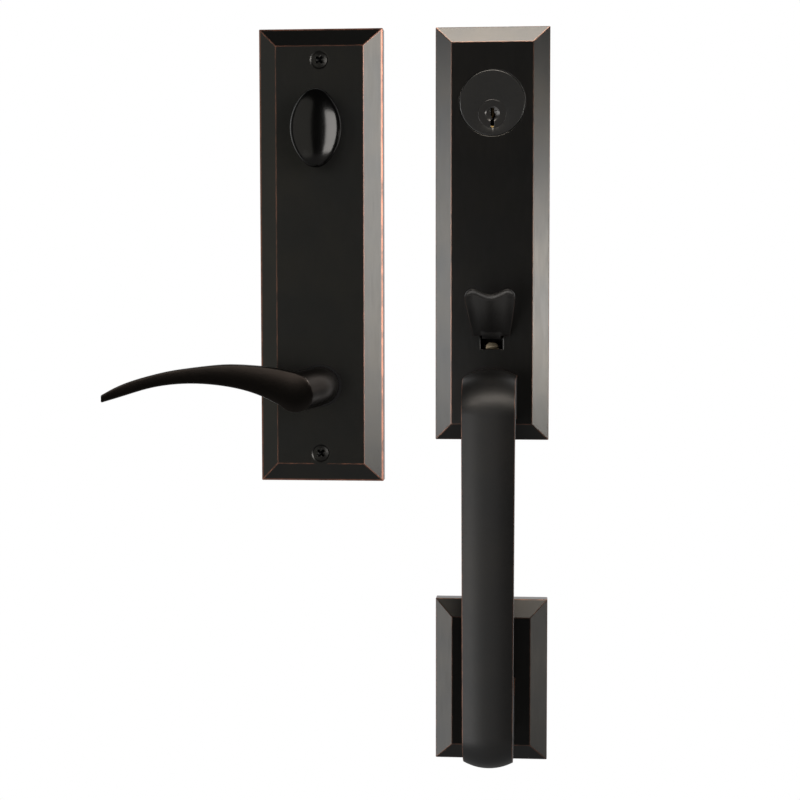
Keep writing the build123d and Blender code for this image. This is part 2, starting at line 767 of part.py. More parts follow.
def screw_sink(x, z, room):
    """Cone in the plate's face for a screw head."""
    depth = plate_screw_head_height
    wide = plate_screw_sink + room
    narrow = plate_screw_radius + room
    return extrude(front(face_out) * Pos(x, z) * Circle(wide), amount=-depth,
                   taper=math.degrees(math.atan2(wide - narrow, depth)))


def make_plate_screws():
    """Two wood screws with raised heads and crossed slots."""
    screws = []
    for x, z in plate_screw_places:
        depth = plate_screw_head_height
        lift = 0.35
        head_top = face_out - lift
        cone = extrude(front(head_top) * Pos(x, z) * Circle(plate_screw_head), amount=-depth + lift,
                       taper=math.degrees(math.atan2(plate_screw_head - plate_screw_radius, depth - lift)))
        dome_radius = plate_screw_head * 2.6
        dome_centre = head_top - math.sqrt(dome_radius ** 2 - plate_screw_head ** 2)
        dome = Pos(x, -dome_centre, z) * Sphere(dome_radius)
        dome &= rod(x, z, plate_screw_head, head_top, head_top + 3)
        tip = face_out - plate_screw_length
        shank = rod(x, z, plate_screw_radius, tip + 6, face_out - depth)
        point = extrude(front(tip + 6) * Pos(x, z) * Circle(plate_screw_radius), amount=-5.5, taper=18)
        cross = Rot(0, 0, 45) * (Rectangle(cross_span, cross_width) + Rectangle(cross_width, cross_span))
        screws.append(cone + dome + shank + point - bar(cross, x, z, head_top - cross_depth + 1, head_top + 3))
    return Compound(children=screws)


def make_neck_bushing():
    """Flanged bearing ring that the lever's neck turns in."""
    inner = neck_radius + running
    sleeve = ring(inside_x, inside_latch_z, inner, inner + bushing_wall, bushing_back, face_out)
    flange = ring(inside_x, inside_latch_z, inner, bushing_flange_radius, face_out, face_out + bushing_flange_thick)
    return sleeve + flange


# Lever outline: distance to the left of the axis as a share of the length, top and bottom height, half of the depth
lever_outline = [
    (0.0617, 9.0, -11.6, 9.4),
    (0.1323, 10.7, -9.3, 8.8),
    (0.2213, 12.2, -4.4, 7.8),
    (0.3131, 13.0, -0.8, 7.0),
    (0.4048, 13.1, 1.3, 6.4),
    (0.4965, 12.2, 2.4, 5.9),
    (0.5882, 10.9, 2.6, 5.4),
    (0.6808, 9.2, 1.8, 5.0),
    (0.7725, 6.7, -0.1, 4.6),
    (0.8660, 3.5, -3.2, 4.2),
    (0.9586, -1.1, -6.4, 3.8),
    (1.0, -3.7, -7.9, 3.4),
]
lever_stations = [(share * lever_length, top, bottom, depth) for share, top, bottom, depth in lever_outline]
# Neck centre line: distance in front of the door, shift to the left, and drop
neck_stations = [(26.0, 0.0, 0.0), (30.0, 0.1, 0.0), (36.0, 1.4, 0.4),
                 (42.0, 3.9, 0.9), (48.0, 6.7, 1.6), (55.0, 10.0, 2.3)]


def lever_face(reach):
    """Distance in front of the door of the planed front, along the lever."""
    return lever_face_out + (lever_face_tip_out - lever_face_out) * reach / lever_length


def lever_envelope(x, z):
    """Body whose slightly crowned front planes the lever."""
    first, last = lever_stations[0], lever_stations[-1]
    near = (-2 * neck_radius, *first[1:])
    far = (lever_length + 10, *last[1:])
    slices = []
    for reach, top, bottom, depth in [near] + lever_stations + [far]:
        half = (top - bottom) / 2
        crown = lever_crown_share * half
        edge = 2 * neck_radius
        drop = crown * (edge / half) ** 2
        out = lever_face(reach)
        place = Plane(origin=(x - reach, -out, z + (top + bottom) / 2), x_dir=(0, -1, 0), z_dir=(-1, 0, 0))
        front_arc = ThreePointArc((-drop, -edge), (0, 0), (-drop, edge))
        back = Polyline((-drop, edge), (-2 * lever_face_out, edge), (-2 * lever_face_out, -edge), (-drop, -edge))
        slices.append(place * make_face(Wire([front_arc, *back.edges()])))
    return loft(slices)


def make_lever():
    """Wave-shaped lever: a round neck that leans into a tapering arm with a crowned front."""
    x = inside_x
    z = inside_latch_z
    neck_slices = [front(out) * Pos(x - shift, z - drop) * Circle(neck_radius)
                   for out, shift, drop in neck_stations]
    neck = rod(x, z, neck_radius, neck_shoulder, neck_stations[0][0]) + loft(neck_slices)
    slices = []
    for reach, top, bottom, depth in lever_stations:
        out = lever_face(reach) - lever_flat_share * depth
        place = Plane(origin=(x - reach, -out, z + (top + bottom) / 2), x_dir=(0, -1, 0), z_dir=(-1, 0, 0))
        slices.append(place * Ellipse(depth, (top - bottom) / 2))
    arm = neck + loft(slices)
    arm &= lever_envelope(x, z)
    journal = rod(x, z, journal_radius, journal_back, neck_shoulder)
    flats = block(x, z, 2 * driver_flat, 2 * journal_radius, driver_back, driver_front)
    journal -= rod(x, z, journal_radius, driver_back, driver_front) - flats
    groove_front = chassis_back - running
    journal -= ring(x, z, journal_radius - snap_groove_depth, journal_radius + 1,
                    groove_front - snap_ring_thick - 0.1, groove_front)
    socket = bar(square(spindle_width + 4 * running), x, z, journal_back, lever_socket_front)
    return arm + journal - socket


def make_lever_driver():
    """Flat ring keyed to the lever's journal, with the lug that the return spring holds."""
    x = inside_x
    z = inside_latch_z
    driver = rod(x, z, driver_radius, driver_back, driver_front)
    driver += block(x, z - driver_lug_reach / 2, driver_lug_width, driver_lug_reach, driver_back, driver_front)
    hole = Circle(journal_radius + running) & Rectangle(2 * (driver_flat + running), 4 * journal_radius)
    return driver - bar(hole, x, z, driver_back, driver_front)


def make_lever_snap_ring():
    x = inside_x
    z = inside_latch_z
    back = chassis_back - 2 * running - snap_ring_thick
    clip = ring(x, z, journal_radius - snap_groove_depth + running, snap_ring_radius, back, back + snap_ring_thick)
    return clip - block(x, z - snap_ring_radius, 5.0, snap_ring_radius, back, back + snap_ring_thick)


def make_lever_spring():
    """Return spring round the driver, with its ends at the lug's two sides."""
    out = (driver_front + driver_back) / 2
    gap = driver_lug_width + 2 * lever_spring_wire + 2 * running
    return hairpin(inside_x, inside_latch_z, out, lever_spring_wire, lever_spring_radius, gap, 0.8, -math.pi / 2)


def make_spring_cup():
    """Pressed steel cup over the return spring, seated on the inside mounting plate."""
    x = inside_x
    z = inside_latch_z
    cup = ring(x, z, cup_radius - cup_wall, cup_radius, chassis_front, cup_front)
    return cup + ring(x, z, journal_radius + slip, cup_radius, cup_front - cup_wall, cup_front)


def make_lever_mount():
    """Steel plate that carries the lever's journal and its two through bolts."""
    x = inside_x
    z = inside_latch_z
    plate = bar(RectangleRounded(lever_plate_width, lever_plate_height, chassis_corner), x, z,
                chassis_back, chassis_front)
    plate -= rod(x, z, journal_radius + running, chassis_back, chassis_front)
    for side in (-1, 1):
        plate -= rod(x + side * post_spacing / 2, z, bolt_radius + slip, chassis_back, chassis_front)
    for sx, sz in lever_screw_places:
        plate -= flush_hole(sx, sz)
    return plate


def make_turn_mount():
    """Steel plate behind the turn piece, with two bolts that reach the key cylinder."""
    plate = bar(RectangleRounded(lever_plate_width, turn_plate_height, chassis_corner), inside_x, inside_turn_z,
                chassis_back, chassis_front)
    plate -= rod(inside_x, inside_turn_z, turn_stem_radius + slip, chassis_back, chassis_front)
    for side in (-1, 1):
        plate -= rod(inside_x + side * cylinder_bolt_spacing / 2, inside_turn_z + cylinder_above_plug,
                     bolt_radius + slip, chassis_back, chassis_front)
    for sx, sz in turn_screw_places:
        plate -= flush_hole(sx, sz)
    return plate


def make_mounting_screws():
    return Compound(children=[flush_screw(x, z) for x, z in lever_screw_places + turn_screw_places])


def make_lever_bolts():
    return pair(lambda x: cap_bolt(inside_x + x, inside_latch_z), post_spacing)


def make_turn_bolts():
    return pair(lambda x: cap_bolt(inside_x + x, inside_turn_z + cylinder_above_plug), cylinder_bolt_spacing)


def make_thumbturn():
    """Oval turn piece: a flattened dome on a round stem that is slotted for the tailpiece."""
    half_height = turn_height / 2
    half_width = turn_width / 2
    tip_centre = half_height - turn_tip_radius
    bow = (half_width ** 2 + tip_centre ** 2 - turn_tip_radius ** 2) / (2 * (half_width - turn_tip_radius))
    lean = math.atan2(tip_centre, bow - half_width)
    join = (turn_tip_radius * math.cos(lean), tip_centre + turn_tip_radius * math.sin(lean))
    half_lean = (lean + math.pi / 2) / 2
    tip = (turn_tip_radius * math.cos(half_lean), tip_centre + turn_tip_radius * math.sin(half_lean))
    profile = make_face(Wire([Line((0, -half_height), (0, half_height)),
                              ThreePointArc((0, half_height), tip, join),
                              ThreePointArc(join, (half_width, 0), (join[0], -join[1])),
                              ThreePointArc((join[0], -join[1]), (tip[0], -tip[1]), (0, -half_height))]))
    spun = revolve(Plane.XZ * profile, axis=Axis.Z)
    knob = scale(spun, by=(1, turn_flatten, 1))
    knob = Pos(inside_x, -turn_out, inside_turn_z) * knob
    stem = rod(inside_x, inside_turn_z, turn_stem_radius, turn_stem_back, turn_out)
    clip_front = turn_clip_front()
    stem -= ring(inside_x, inside_turn_z, turn_stem_radius - turn_groove_depth, turn_stem_radius + 1,
                 clip_front - turn_clip_thick - 0.1, clip_front + running)
    slot = block(inside_x, inside_turn_z, tailpiece_thick + 0.4, tailpiece_width + 0.4,
                 turn_stem_back, turn_stem_back + turn_slot_depth)
    return knob + stem - slot


def turn_clip_front():
    return wall_out - turn_boss_length - running


def make_turn_clip():
    """Split ring on the turn piece's stem, behind the plate's boss."""
    clip_front = turn_clip_front()
    x = inside_x
    z = inside_turn_z
    clip = ring(x, z, turn_stem_radius - turn_groove_depth + running, turn_clip_radius,
                clip_front - turn_clip_thick, clip_front)
    return clip - block(x, z - turn_clip_radius, 3.0, turn_clip_radius, clip_front - turn_clip_thick, clip_front)


def make_chassis_screws():
    return Compound(children=[flush_screw(x, z) for x, z in chassis_screw_places])


pieces = {
    "exterior_plate": make_exterior_plate,
    "cylinder_body": make_cylinder_body,
    "cylinder_nut": make_cylinder_nut,
    "cylinder_plug": make_cylinder_plug,
    "key_pins": make_key_pins,
    "driver_pins": make_driver_pins,
    "pin_springs": make_pin_springs,
    "chamber_caps": make_chamber_caps,
    "plug_cap": make_plug_cap,
    "cylinder_tailpiece": make_cylinder_tailpiece,
    "latch_chassis": make_latch_chassis,
    "chassis_screws": make_chassis_screws,
    "mounting_posts": make_mounting_posts,
    "thumb_pivot_pin": make_thumb_pivot_pin,
    "thumbpiece": make_thumbpiece,
    "spindle_hub": make_spindle_hub,
    "hub_clip": make_hub_clip,
    "hub_spring": make_hub_spring,
    "lift_cam": make_lift_cam,
    "latch_spindle": make_latch_spindle,
    "grip": make_grip,
    "grip_screws": make_grip_screws,
    "lower_rosette": make_lower_rosette,
    "lower_stud": make_lower_stud,
    "interior_plate": make_interior_plate,
    "plate_screws": make_plate_screws,
    "neck_bushing": make_neck_bushing,
    "lever": make_lever,
    "lever_driver": make_lever_driver,
    "lever_snap_ring": make_lever_snap_ring,
    "lever_spring": make_lever_spring,
    "spring_cup": make_spring_cup,
    "lever_mount": make_lever_mount,
    "lever_bolts": make_lever_bolts,
    "mounting_screws": make_mounting_screws,
    "turn_mount": make_turn_mount,
    "turn_bolts": make_turn_bolts,
    "thumbturn": make_thumbturn,
    "turn_clip": make_turn_clip,
}


def main():
    os.makedirs("parts", exist_ok=True)
    for name, make in pieces.items():
        export_step(make(), f"parts/{name}.step")


main()
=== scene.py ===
import json
import logging
import math
from dataclasses import dataclass, field
from enum import Enum
from typing import ClassVar, Iterable

import bmesh
import bpy
from mathutils import Euler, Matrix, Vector


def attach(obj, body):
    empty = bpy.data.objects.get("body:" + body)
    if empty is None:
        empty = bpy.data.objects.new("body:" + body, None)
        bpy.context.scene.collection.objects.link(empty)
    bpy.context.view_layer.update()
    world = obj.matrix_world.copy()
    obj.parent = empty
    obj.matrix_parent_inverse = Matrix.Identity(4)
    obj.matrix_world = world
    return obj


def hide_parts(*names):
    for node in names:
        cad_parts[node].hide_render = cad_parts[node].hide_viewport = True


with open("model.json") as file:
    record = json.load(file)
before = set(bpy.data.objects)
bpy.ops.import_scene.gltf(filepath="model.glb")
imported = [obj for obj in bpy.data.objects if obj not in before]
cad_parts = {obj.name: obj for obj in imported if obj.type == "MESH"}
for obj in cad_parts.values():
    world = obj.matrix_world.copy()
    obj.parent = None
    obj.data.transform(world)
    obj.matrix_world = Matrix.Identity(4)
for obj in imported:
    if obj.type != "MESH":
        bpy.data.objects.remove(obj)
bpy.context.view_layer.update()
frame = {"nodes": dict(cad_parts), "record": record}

LOG = logging.getLogger("handleset")
RECORD = frame["record"]
BODY_OF = {node: body for body, nodes in RECORD["behaviour"]["bodies"].items() for node in nodes}

Colour = tuple[float, float, float]
Point = tuple[float, float, float]
Circle = tuple[float, float, float]
Socket = int | str
Value = bpy.types.Node | float

# Places on the object, in metres: x to the right, z up, and y into the door.
INSIDE_X = -0.0945
FACE_Z = 0.1457
PLUG_Z = 0.1397
KEYWAY_FOOT_Z = 0.1332
SLOT_Z = 0.0225
TURN_Z = 0.1315
LEVER_Z = -0.0082
SCREW_HIGH_Z = 0.1697
SCREW_LOW_Z = -0.0458
FLOOR_Z = -0.85

UPRIGHT = (0.0, 0.0, 0.0)
INTO_DOOR = (math.pi / 2, 0.0, 0.0)

BARE_COPPER = (0.42, 0.20, 0.13)
RED_COPPER = (0.56, 0.22, 0.13)
KEYWAY_BRASS = (0.14, 0.095, 0.03)
# Painted shade: the black that fills the screws' cross recesses.
RECESS_SHADE_BLACK = (0.002, 0.002, 0.002)


class Lathe(Enum):
    """Directions in which a turned face carries its rings."""

    NONE = "none"
    DOOR_AXIS = "Y"


class Lit(Enum):
    """The groups of pieces that have lamps of their own."""

    PLATES = "outside_plates"
    FOOT = "rosette_alone"
    HAND = "grip_alone"
    THUMB = "thumb_alone"
    REST = "inside_plates"
    KNOB = "knob_alone"
    LEVER = "lever_alone"
    GROUND = "ground"


class Wiring:
    """A node tree, with short calls to add and join its nodes."""

    def __init__(self, tree: bpy.types.NodeTree) -> None:
        """Keeps the tree that the nodes go into."""
        self.tree = tree

    def add(self, kind: str, **settings: object) -> bpy.types.Node:
        """Adds one node.

        Args:
            kind: The node's Blender type.
            **settings: Properties of the node, or values of its inputs where their names have a capital.

        Returns:
            The new node.
        """
        node = self.tree.nodes.new(kind)
        for key, value in settings.items():
            if key[0].isupper():
                node.inputs[key.replace("_", " ")].default_value = value
            else:
                setattr(node, key, value)
        return node

    def join(self, source: bpy.types.Node, out: Socket, target: bpy.types.Node, into: Socket) -> None:
        """Links one node's output to another's input."""
        self.tree.links.new(source.outputs[out], target.inputs[into])


class NodeSheet(Wiring):
    """A material's node tree, with the patterns that the finishes share."""

    FADE: ClassVar[float] = 0.0002
    CIRCLE_FADE: ClassVar[float] = 0.96
    OUTWARD: ClassVar[tuple[float, float]] = (-0.2, -0.3)
    BEVEL_SAMPLES: ClassVar[int] = 6
    MIXED: ClassVar[int] = 2
    FIRST: ClassVar[int] = 6
    SECOND: ClassVar[int] = 7

    def __init__(self, name: str) -> None:
        """Makes an empty material with its output and its shader.

        Args:
            name: The material's name.
        """
        self.material = bpy.data.materials.new(name)
        self.material.use_nodes = True
        super().__init__(self.material.node_tree)
        self.tree.nodes.clear()
        self.output = self.add("ShaderNodeOutputMaterial")
        self.shader = self.add("ShaderNodeBsdfPrincipled")
        self.join(self.shader, "BSDF", self.output, "Surface")
        self.place = self.add("ShaderNodeTexCoord")

    def noise(self, scale: float, detail: float = 2.0, stretch: Point = (1, 1, 1)) -> bpy.types.Node:
        """A noise on the piece's own coordinates.

        Args:
            scale: How many times it repeats in a metre.
            detail: How many finer layers it has.
            stretch: How much it is drawn out along each axis.

        Returns:
            The noise node.
        """
        mapping = self.add("ShaderNodeMapping", Scale=stretch)
        self.join(self.place, "Object", mapping, "Vector")
        noise = self.add("ShaderNodeTexNoise", Scale=scale, Detail=detail)
        self.join(mapping, "Vector", noise, "Vector")
        return noise

    def span(self, source: bpy.types.Node, out: Socket, low: float, high: float, to_low: float,
             to_high: float) -> bpy.types.Node:
        """Maps one range of a value onto another.

        Args:
            source: The node that gives the value.
            out: Its output.
            low: The value that becomes to_low.
            high: The value that becomes to_high.
            to_low: The result at the low end.
            to_high: The result at the high end.

        Returns:
            The map range node.
        """
        node = self.add("ShaderNodeMapRange", From_Min=low, From_Max=high, To_Min=to_low, To_Max=to_high)
        self.join(source, out, node, "Value")
        return node

    def calc(self, operation: str, first: Value, second: Value) -> bpy.types.Node:
        """A sum of two values, each a node or a number.

        Args:
            operation: The sum's Blender name.
            first: A node whose first output is used, or a number.
            second: The same, for the second value.

        Returns:
            The math node.
        """
        node = self.add("ShaderNodeMath", operation=operation)
        for index, value in enumerate((first, second)):
            if isinstance(value, bpy.types.Node):
                self.join(value, 0, node, index)
            else:
                node.inputs[index].default_value = value
        return node

    def blend(self, factor: bpy.types.Node, first: bpy.types.Node | Colour, second: Colour) -> bpy.types.Node:
        """Mixes two colours.

        Args:
            factor: The node that gives the second colour's share, from 0 to 1.
            first: A colour, or an earlier mix.
            second: The second colour.

        Returns:
            The mix node, whose result is its output MIXED.
        """
        node = self.add("ShaderNodeMix", data_type="RGBA")
        self.join(factor, 0, node, 0)
        if isinstance(first, bpy.types.Node):
            self.join(first, self.MIXED, node, self.FIRST)
        else:
            node.inputs[self.FIRST].default_value = (*first, 1.0)
        node.inputs[self.SECOND].default_value = (*second, 1.0)
        return node

    def worn_edges(self, radius: float, low: float, high: float) -> bpy.types.Node:
        """A value that is 1 on sharp ridges and 0 on flat faces.

        Args:
            radius: How far from the ridge it reaches, in metres.
            low: The turn of the surface at which it starts.
            high: The turn of the surface at which it is full.

        Returns:
            The node that gives the value.
        """
        rounded = self.add("ShaderNodeBevel", samples=self.BEVEL_SAMPLES, Radius=radius)
        flat = self.add("ShaderNodeNewGeometry")
        turn = self.add("ShaderNodeVectorMath", operation="DOT_PRODUCT")
        self.join(rounded, "Normal", turn, 0)
        self.join(flat, "Normal", turn, 1)
        return self.span(turn, "Value", 1.0 - low, 1.0 - high, 0.0, 1.0)

    def behind(self, depth: float) -> bpy.types.Node:
        """A value that is 1 nearer the door than a depth, and 0 in front of it.

        Args:
            depth: The distance in front of the door, in metres.

        Returns:
            The node that gives the value.
        """
        parts = self.add("ShaderNodeSeparateXYZ")
        self.join(self.place, "Object", parts, 0)
        return self.span(parts, "Y", -depth - self.FADE, -depth + self.FADE, 0.0, 1.0)

    def frontal(self) -> bpy.types.Node:
        """A value that is 1 on faces that look out from the door and 0 on the rest.

        Returns:
            The node that gives the value.
        """
        surface = self.add("ShaderNodeNewGeometry")
        parts = self.add("ShaderNodeSeparateXYZ")
        self.join(surface, "True Normal", parts, 0)
        return self.span(parts, "Y", *self.OUTWARD, 0.0, 1.0)

    def near(self, x: float, z: float, radius: float) -> bpy.types.Node:
        """A value that is 1 within a circle on the face and 0 outside it.

        Args:
            x: The circle's centre to the right, in metres.
            z: Its height.
            radius: Its radius.

        Returns:
            The node that gives the value.
        """
        moved = self.add("ShaderNodeMapping", Location=(-x, 0.0, -z))
        self.join(self.place, "Object", moved, "Vector")
        level = self.add("ShaderNodeVectorMath", operation="MULTIPLY")
        level.inputs[1].default_value = (1.0, 0.0, 1.0)
        self.join(moved, "Vector", level, 0)
        reach = self.add("ShaderNodeVectorMath", operation="LENGTH")
        self.join(level, "Vector", reach, 0)
        return self.span(reach, "Value", radius, radius * self.CIRCLE_FADE, 0.0, 1.0)


@dataclass(frozen=True)
class Finish:
    """A metal or plastic surface.

    Args:
        name: The material's name.
        colour: Its main colour.
        tint: The colour of its cloudy patches.
        metallic: How metallic it is.
        roughness: Its lowest and highest roughness.
        grain: The size of its fine relief, in repeats per metre.
        relief: The strength of that relief.
        depth: The depth of that relief, in metres.
        stretch: How the fine relief is drawn out along each axis.
        sheen: How strongly its clear top layer mirrors, where 0.5 is usual.
        soften: How far its edges look rounded, in metres.
        clouds: The size of its patches, in repeats per metre.
    """

    CLOUD_BAND: ClassVar[tuple[float, float]] = (0.35, 0.7)
    GRAIN_BAND: ClassVar[tuple[float, float]] = (0.3, 0.7)

    name: str
    colour: Colour
    tint: Colour
    metallic: float = 1.0
    roughness: tuple[float, float] = (0.3, 0.42)
    grain: float = 900.0
    relief: float = 0.02
    depth: float = 0.0003
    stretch: Point = (1.0, 1.0, 1.0)
    sheen: float = 0.5
    soften: float = 0.0
    clouds: float = 38.0

    def make(self) -> bpy.types.Material:
        """Makes the material.

        Returns:
            The new material.
        """
        sheet = NodeSheet(self.name)
        self.paint(sheet)
        self.roughen(sheet)
        sheet.shader.inputs["Metallic"].default_value = self.metallic
        sheet.shader.inputs["Specular IOR Level"].default_value = self.sheen
        return sheet.material

    def patches(self, sheet: NodeSheet) -> bpy.types.Node:
        """Mixes the main colour with its cloudy tint.

        Args:
            sheet: The material's nodes.

        Returns:
            The mix node.
        """
        amount = sheet.span(sheet.noise(self.clouds, 3.0), 0, *self.CLOUD_BAND, 0.0, 1.0)
        return sheet.blend(amount, self.colour, self.tint)

    def paint(self, sheet: NodeSheet) -> None:
        """Gives the shader its colour."""
        sheet.join(self.patches(sheet), sheet.MIXED, sheet.shader, "Base Color")

    def roughen(self, sheet: NodeSheet) -> None:
        """Gives the shader its roughness and its fine relief.

        Args:
            sheet: The material's nodes.
        """
        grain = sheet.noise(self.grain, 3.0, self.stretch)
        rough = sheet.span(grain, 0, *self.GRAIN_BAND, *self.roughness)
        sheet.join(rough, 0, sheet.shader, "Roughness")
        self.emboss(sheet, grain)

    def emboss(self, sheet: NodeSheet, grain: bpy.types.Node) -> None:
        """Turns the fine relief into a bump.

        Args:
            sheet: The material's nodes.
            grain: The node that gives the relief.
        """
        bump = sheet.add("ShaderNodeBump", Strength=self.relief, Distance=self.depth)
        sheet.join(grain, 0, bump, "Height")
        if self.soften:
            rounded = sheet.add("ShaderNodeBevel", samples=sheet.BEVEL_SAMPLES, Radius=self.soften)
            sheet.join(rounded, "Normal", bump, "Normal")
        sheet.join(bump, "Normal", sheet.shader, "Normal")


@dataclass(frozen=True)
class RubbedBronze(Finish):
    """Dark oiled bronze that is rubbed through to copper on its ridges.

    Args:
        copper: The colour of the bare metal on the ridges.
        wear_radius: How far the wear reaches from a ridge, in metres.
        wear_turn: The turn of the surface at which wear starts, and at which it is full.
        wear: How bare the ridges get, from 0 to 1.
        rubbing: The size of the uneven spots of the wear, in repeats per metre.
        brushed: How metallic the bare copper looks, where less is duller from every side.
        spared: Circles in which the ridges aren't rubbed, as x, z and radius in metres.
        rim: The distance in front of the door behind which the slopes are rubbed bare, or 0.
        rim_wear: How strong that wear is beside the wear of the ridges.
        rings: Whether the face carries turned rings.
        centre: The axis of the rings, in metres.
        ring_pitch: How close the rings are, in repeats per metre.
        ring_depth: How strong the rings are beside the fine relief.
        gilded: A circle in which bare brass shows, as x, z and radius in metres.
        recess_shade_depth: The distance in front of the door behind which it is painted black as shade, as in a
            screw's cross recess, or 0.
    """

    RUBBED_BAND: ClassVar[tuple[float, float]] = (0.3, 0.62)
    RUBBED_SHARE: ClassVar[tuple[float, float]] = (0.25, 1.0)
    RING_WOBBLE: ClassVar[float] = 0.4

    copper: Colour = BARE_COPPER
    wear_radius: float = 0.0006
    wear_turn: tuple[float, float] = (0.01, 0.10)
    wear: float = 0.0
    rubbing: float = 140.0
    brushed: float = 0.85
    spared: tuple[Circle, ...] = ()
    rim: float = 0.0
    rim_wear: float = 0.55
    rings: Lathe = Lathe.NONE
    centre: Point = (0.0, 0.0, 0.0)
    ring_pitch: float = 900.0
    ring_depth: float = 0.35
    gilded: Circle | None = None
    recess_shade_depth: float = 0.0

    def bare(self, sheet: NodeSheet) -> bpy.types.Node:
        """Where the copper shows on a finish that is worn.

        Args:
            sheet: The material's nodes.

        Returns:
            The node that gives its share, from 0 to 1.
        """
        ridge = sheet.worn_edges(self.wear_radius, *self.wear_turn)
        uneven = sheet.span(sheet.noise(self.rubbing, 4.0), 0, *self.RUBBED_BAND, *self.RUBBED_SHARE)
        if self.rim > 0.0:
            edge = sheet.calc("MULTIPLY", sheet.behind(self.rim), sheet.frontal())
            ridge = sheet.calc("MAXIMUM", ridge, sheet.calc("MULTIPLY", edge, self.rim_wear))
        bare = sheet.calc("MULTIPLY", sheet.calc("MULTIPLY", ridge, uneven), self.wear)
        for circle in self.spared:
            bare = sheet.calc("MULTIPLY", bare, sheet.calc("SUBTRACT", 1.0, sheet.near(*circle)))
        return bare

    def paint(self, sheet: NodeSheet) -> None:
        """Gives the shader its dark colour with copper on the ridges.

        Args:
            sheet: The material's nodes.
        """
        colour = self.patches(sheet)
        if self.wear > 0.0:
            bare = self.bare(sheet)
            colour = sheet.blend(bare, colour, self.copper)
            dulled = sheet.span(bare, 0, 0.0, 1.0, self.metallic, self.brushed)
            sheet.join(dulled, 0, sheet.shader, "Metallic")
        if self.gilded is not None:
            colour = sheet.blend(sheet.near(*self.gilded), colour, KEYWAY_BRASS)
        # Painted shade: behind the given depth the colour turns black, standing in for the shade inside a
        # screw's cross recess.
        if self.recess_shade_depth > 0.0:
            colour = sheet.blend(sheet.behind(self.recess_shade_depth), colour, RECESS_SHADE_BLACK)
        sheet.join(colour, sheet.MIXED, sheet.shader, "Base Color")

    def emboss(self, sheet: NodeSheet, grain: bpy.types.Node) -> None:
        """Adds turned rings to the fine relief where the face has them.

        Args:
            sheet: The material's nodes.
            grain: The node that gives the relief.
        """
        if self.rings is Lathe.NONE:
            super().emboss(sheet, grain)
            return
        mapping = sheet.add("ShaderNodeMapping", Location=tuple(-value for value in self.centre))
        sheet.join(sheet.place, "Object", mapping, "Vector")
        rings = sheet.add("ShaderNodeTexWave", wave_type="RINGS", rings_direction=self.rings.value,
                          Scale=self.ring_pitch, Distortion=self.RING_WOBBLE)
        sheet.join(mapping, "Vector", rings, "Vector")
        both = sheet.calc("ADD", grain, sheet.calc("MULTIPLY", rings, self.ring_depth))
        super().emboss(sheet, both)


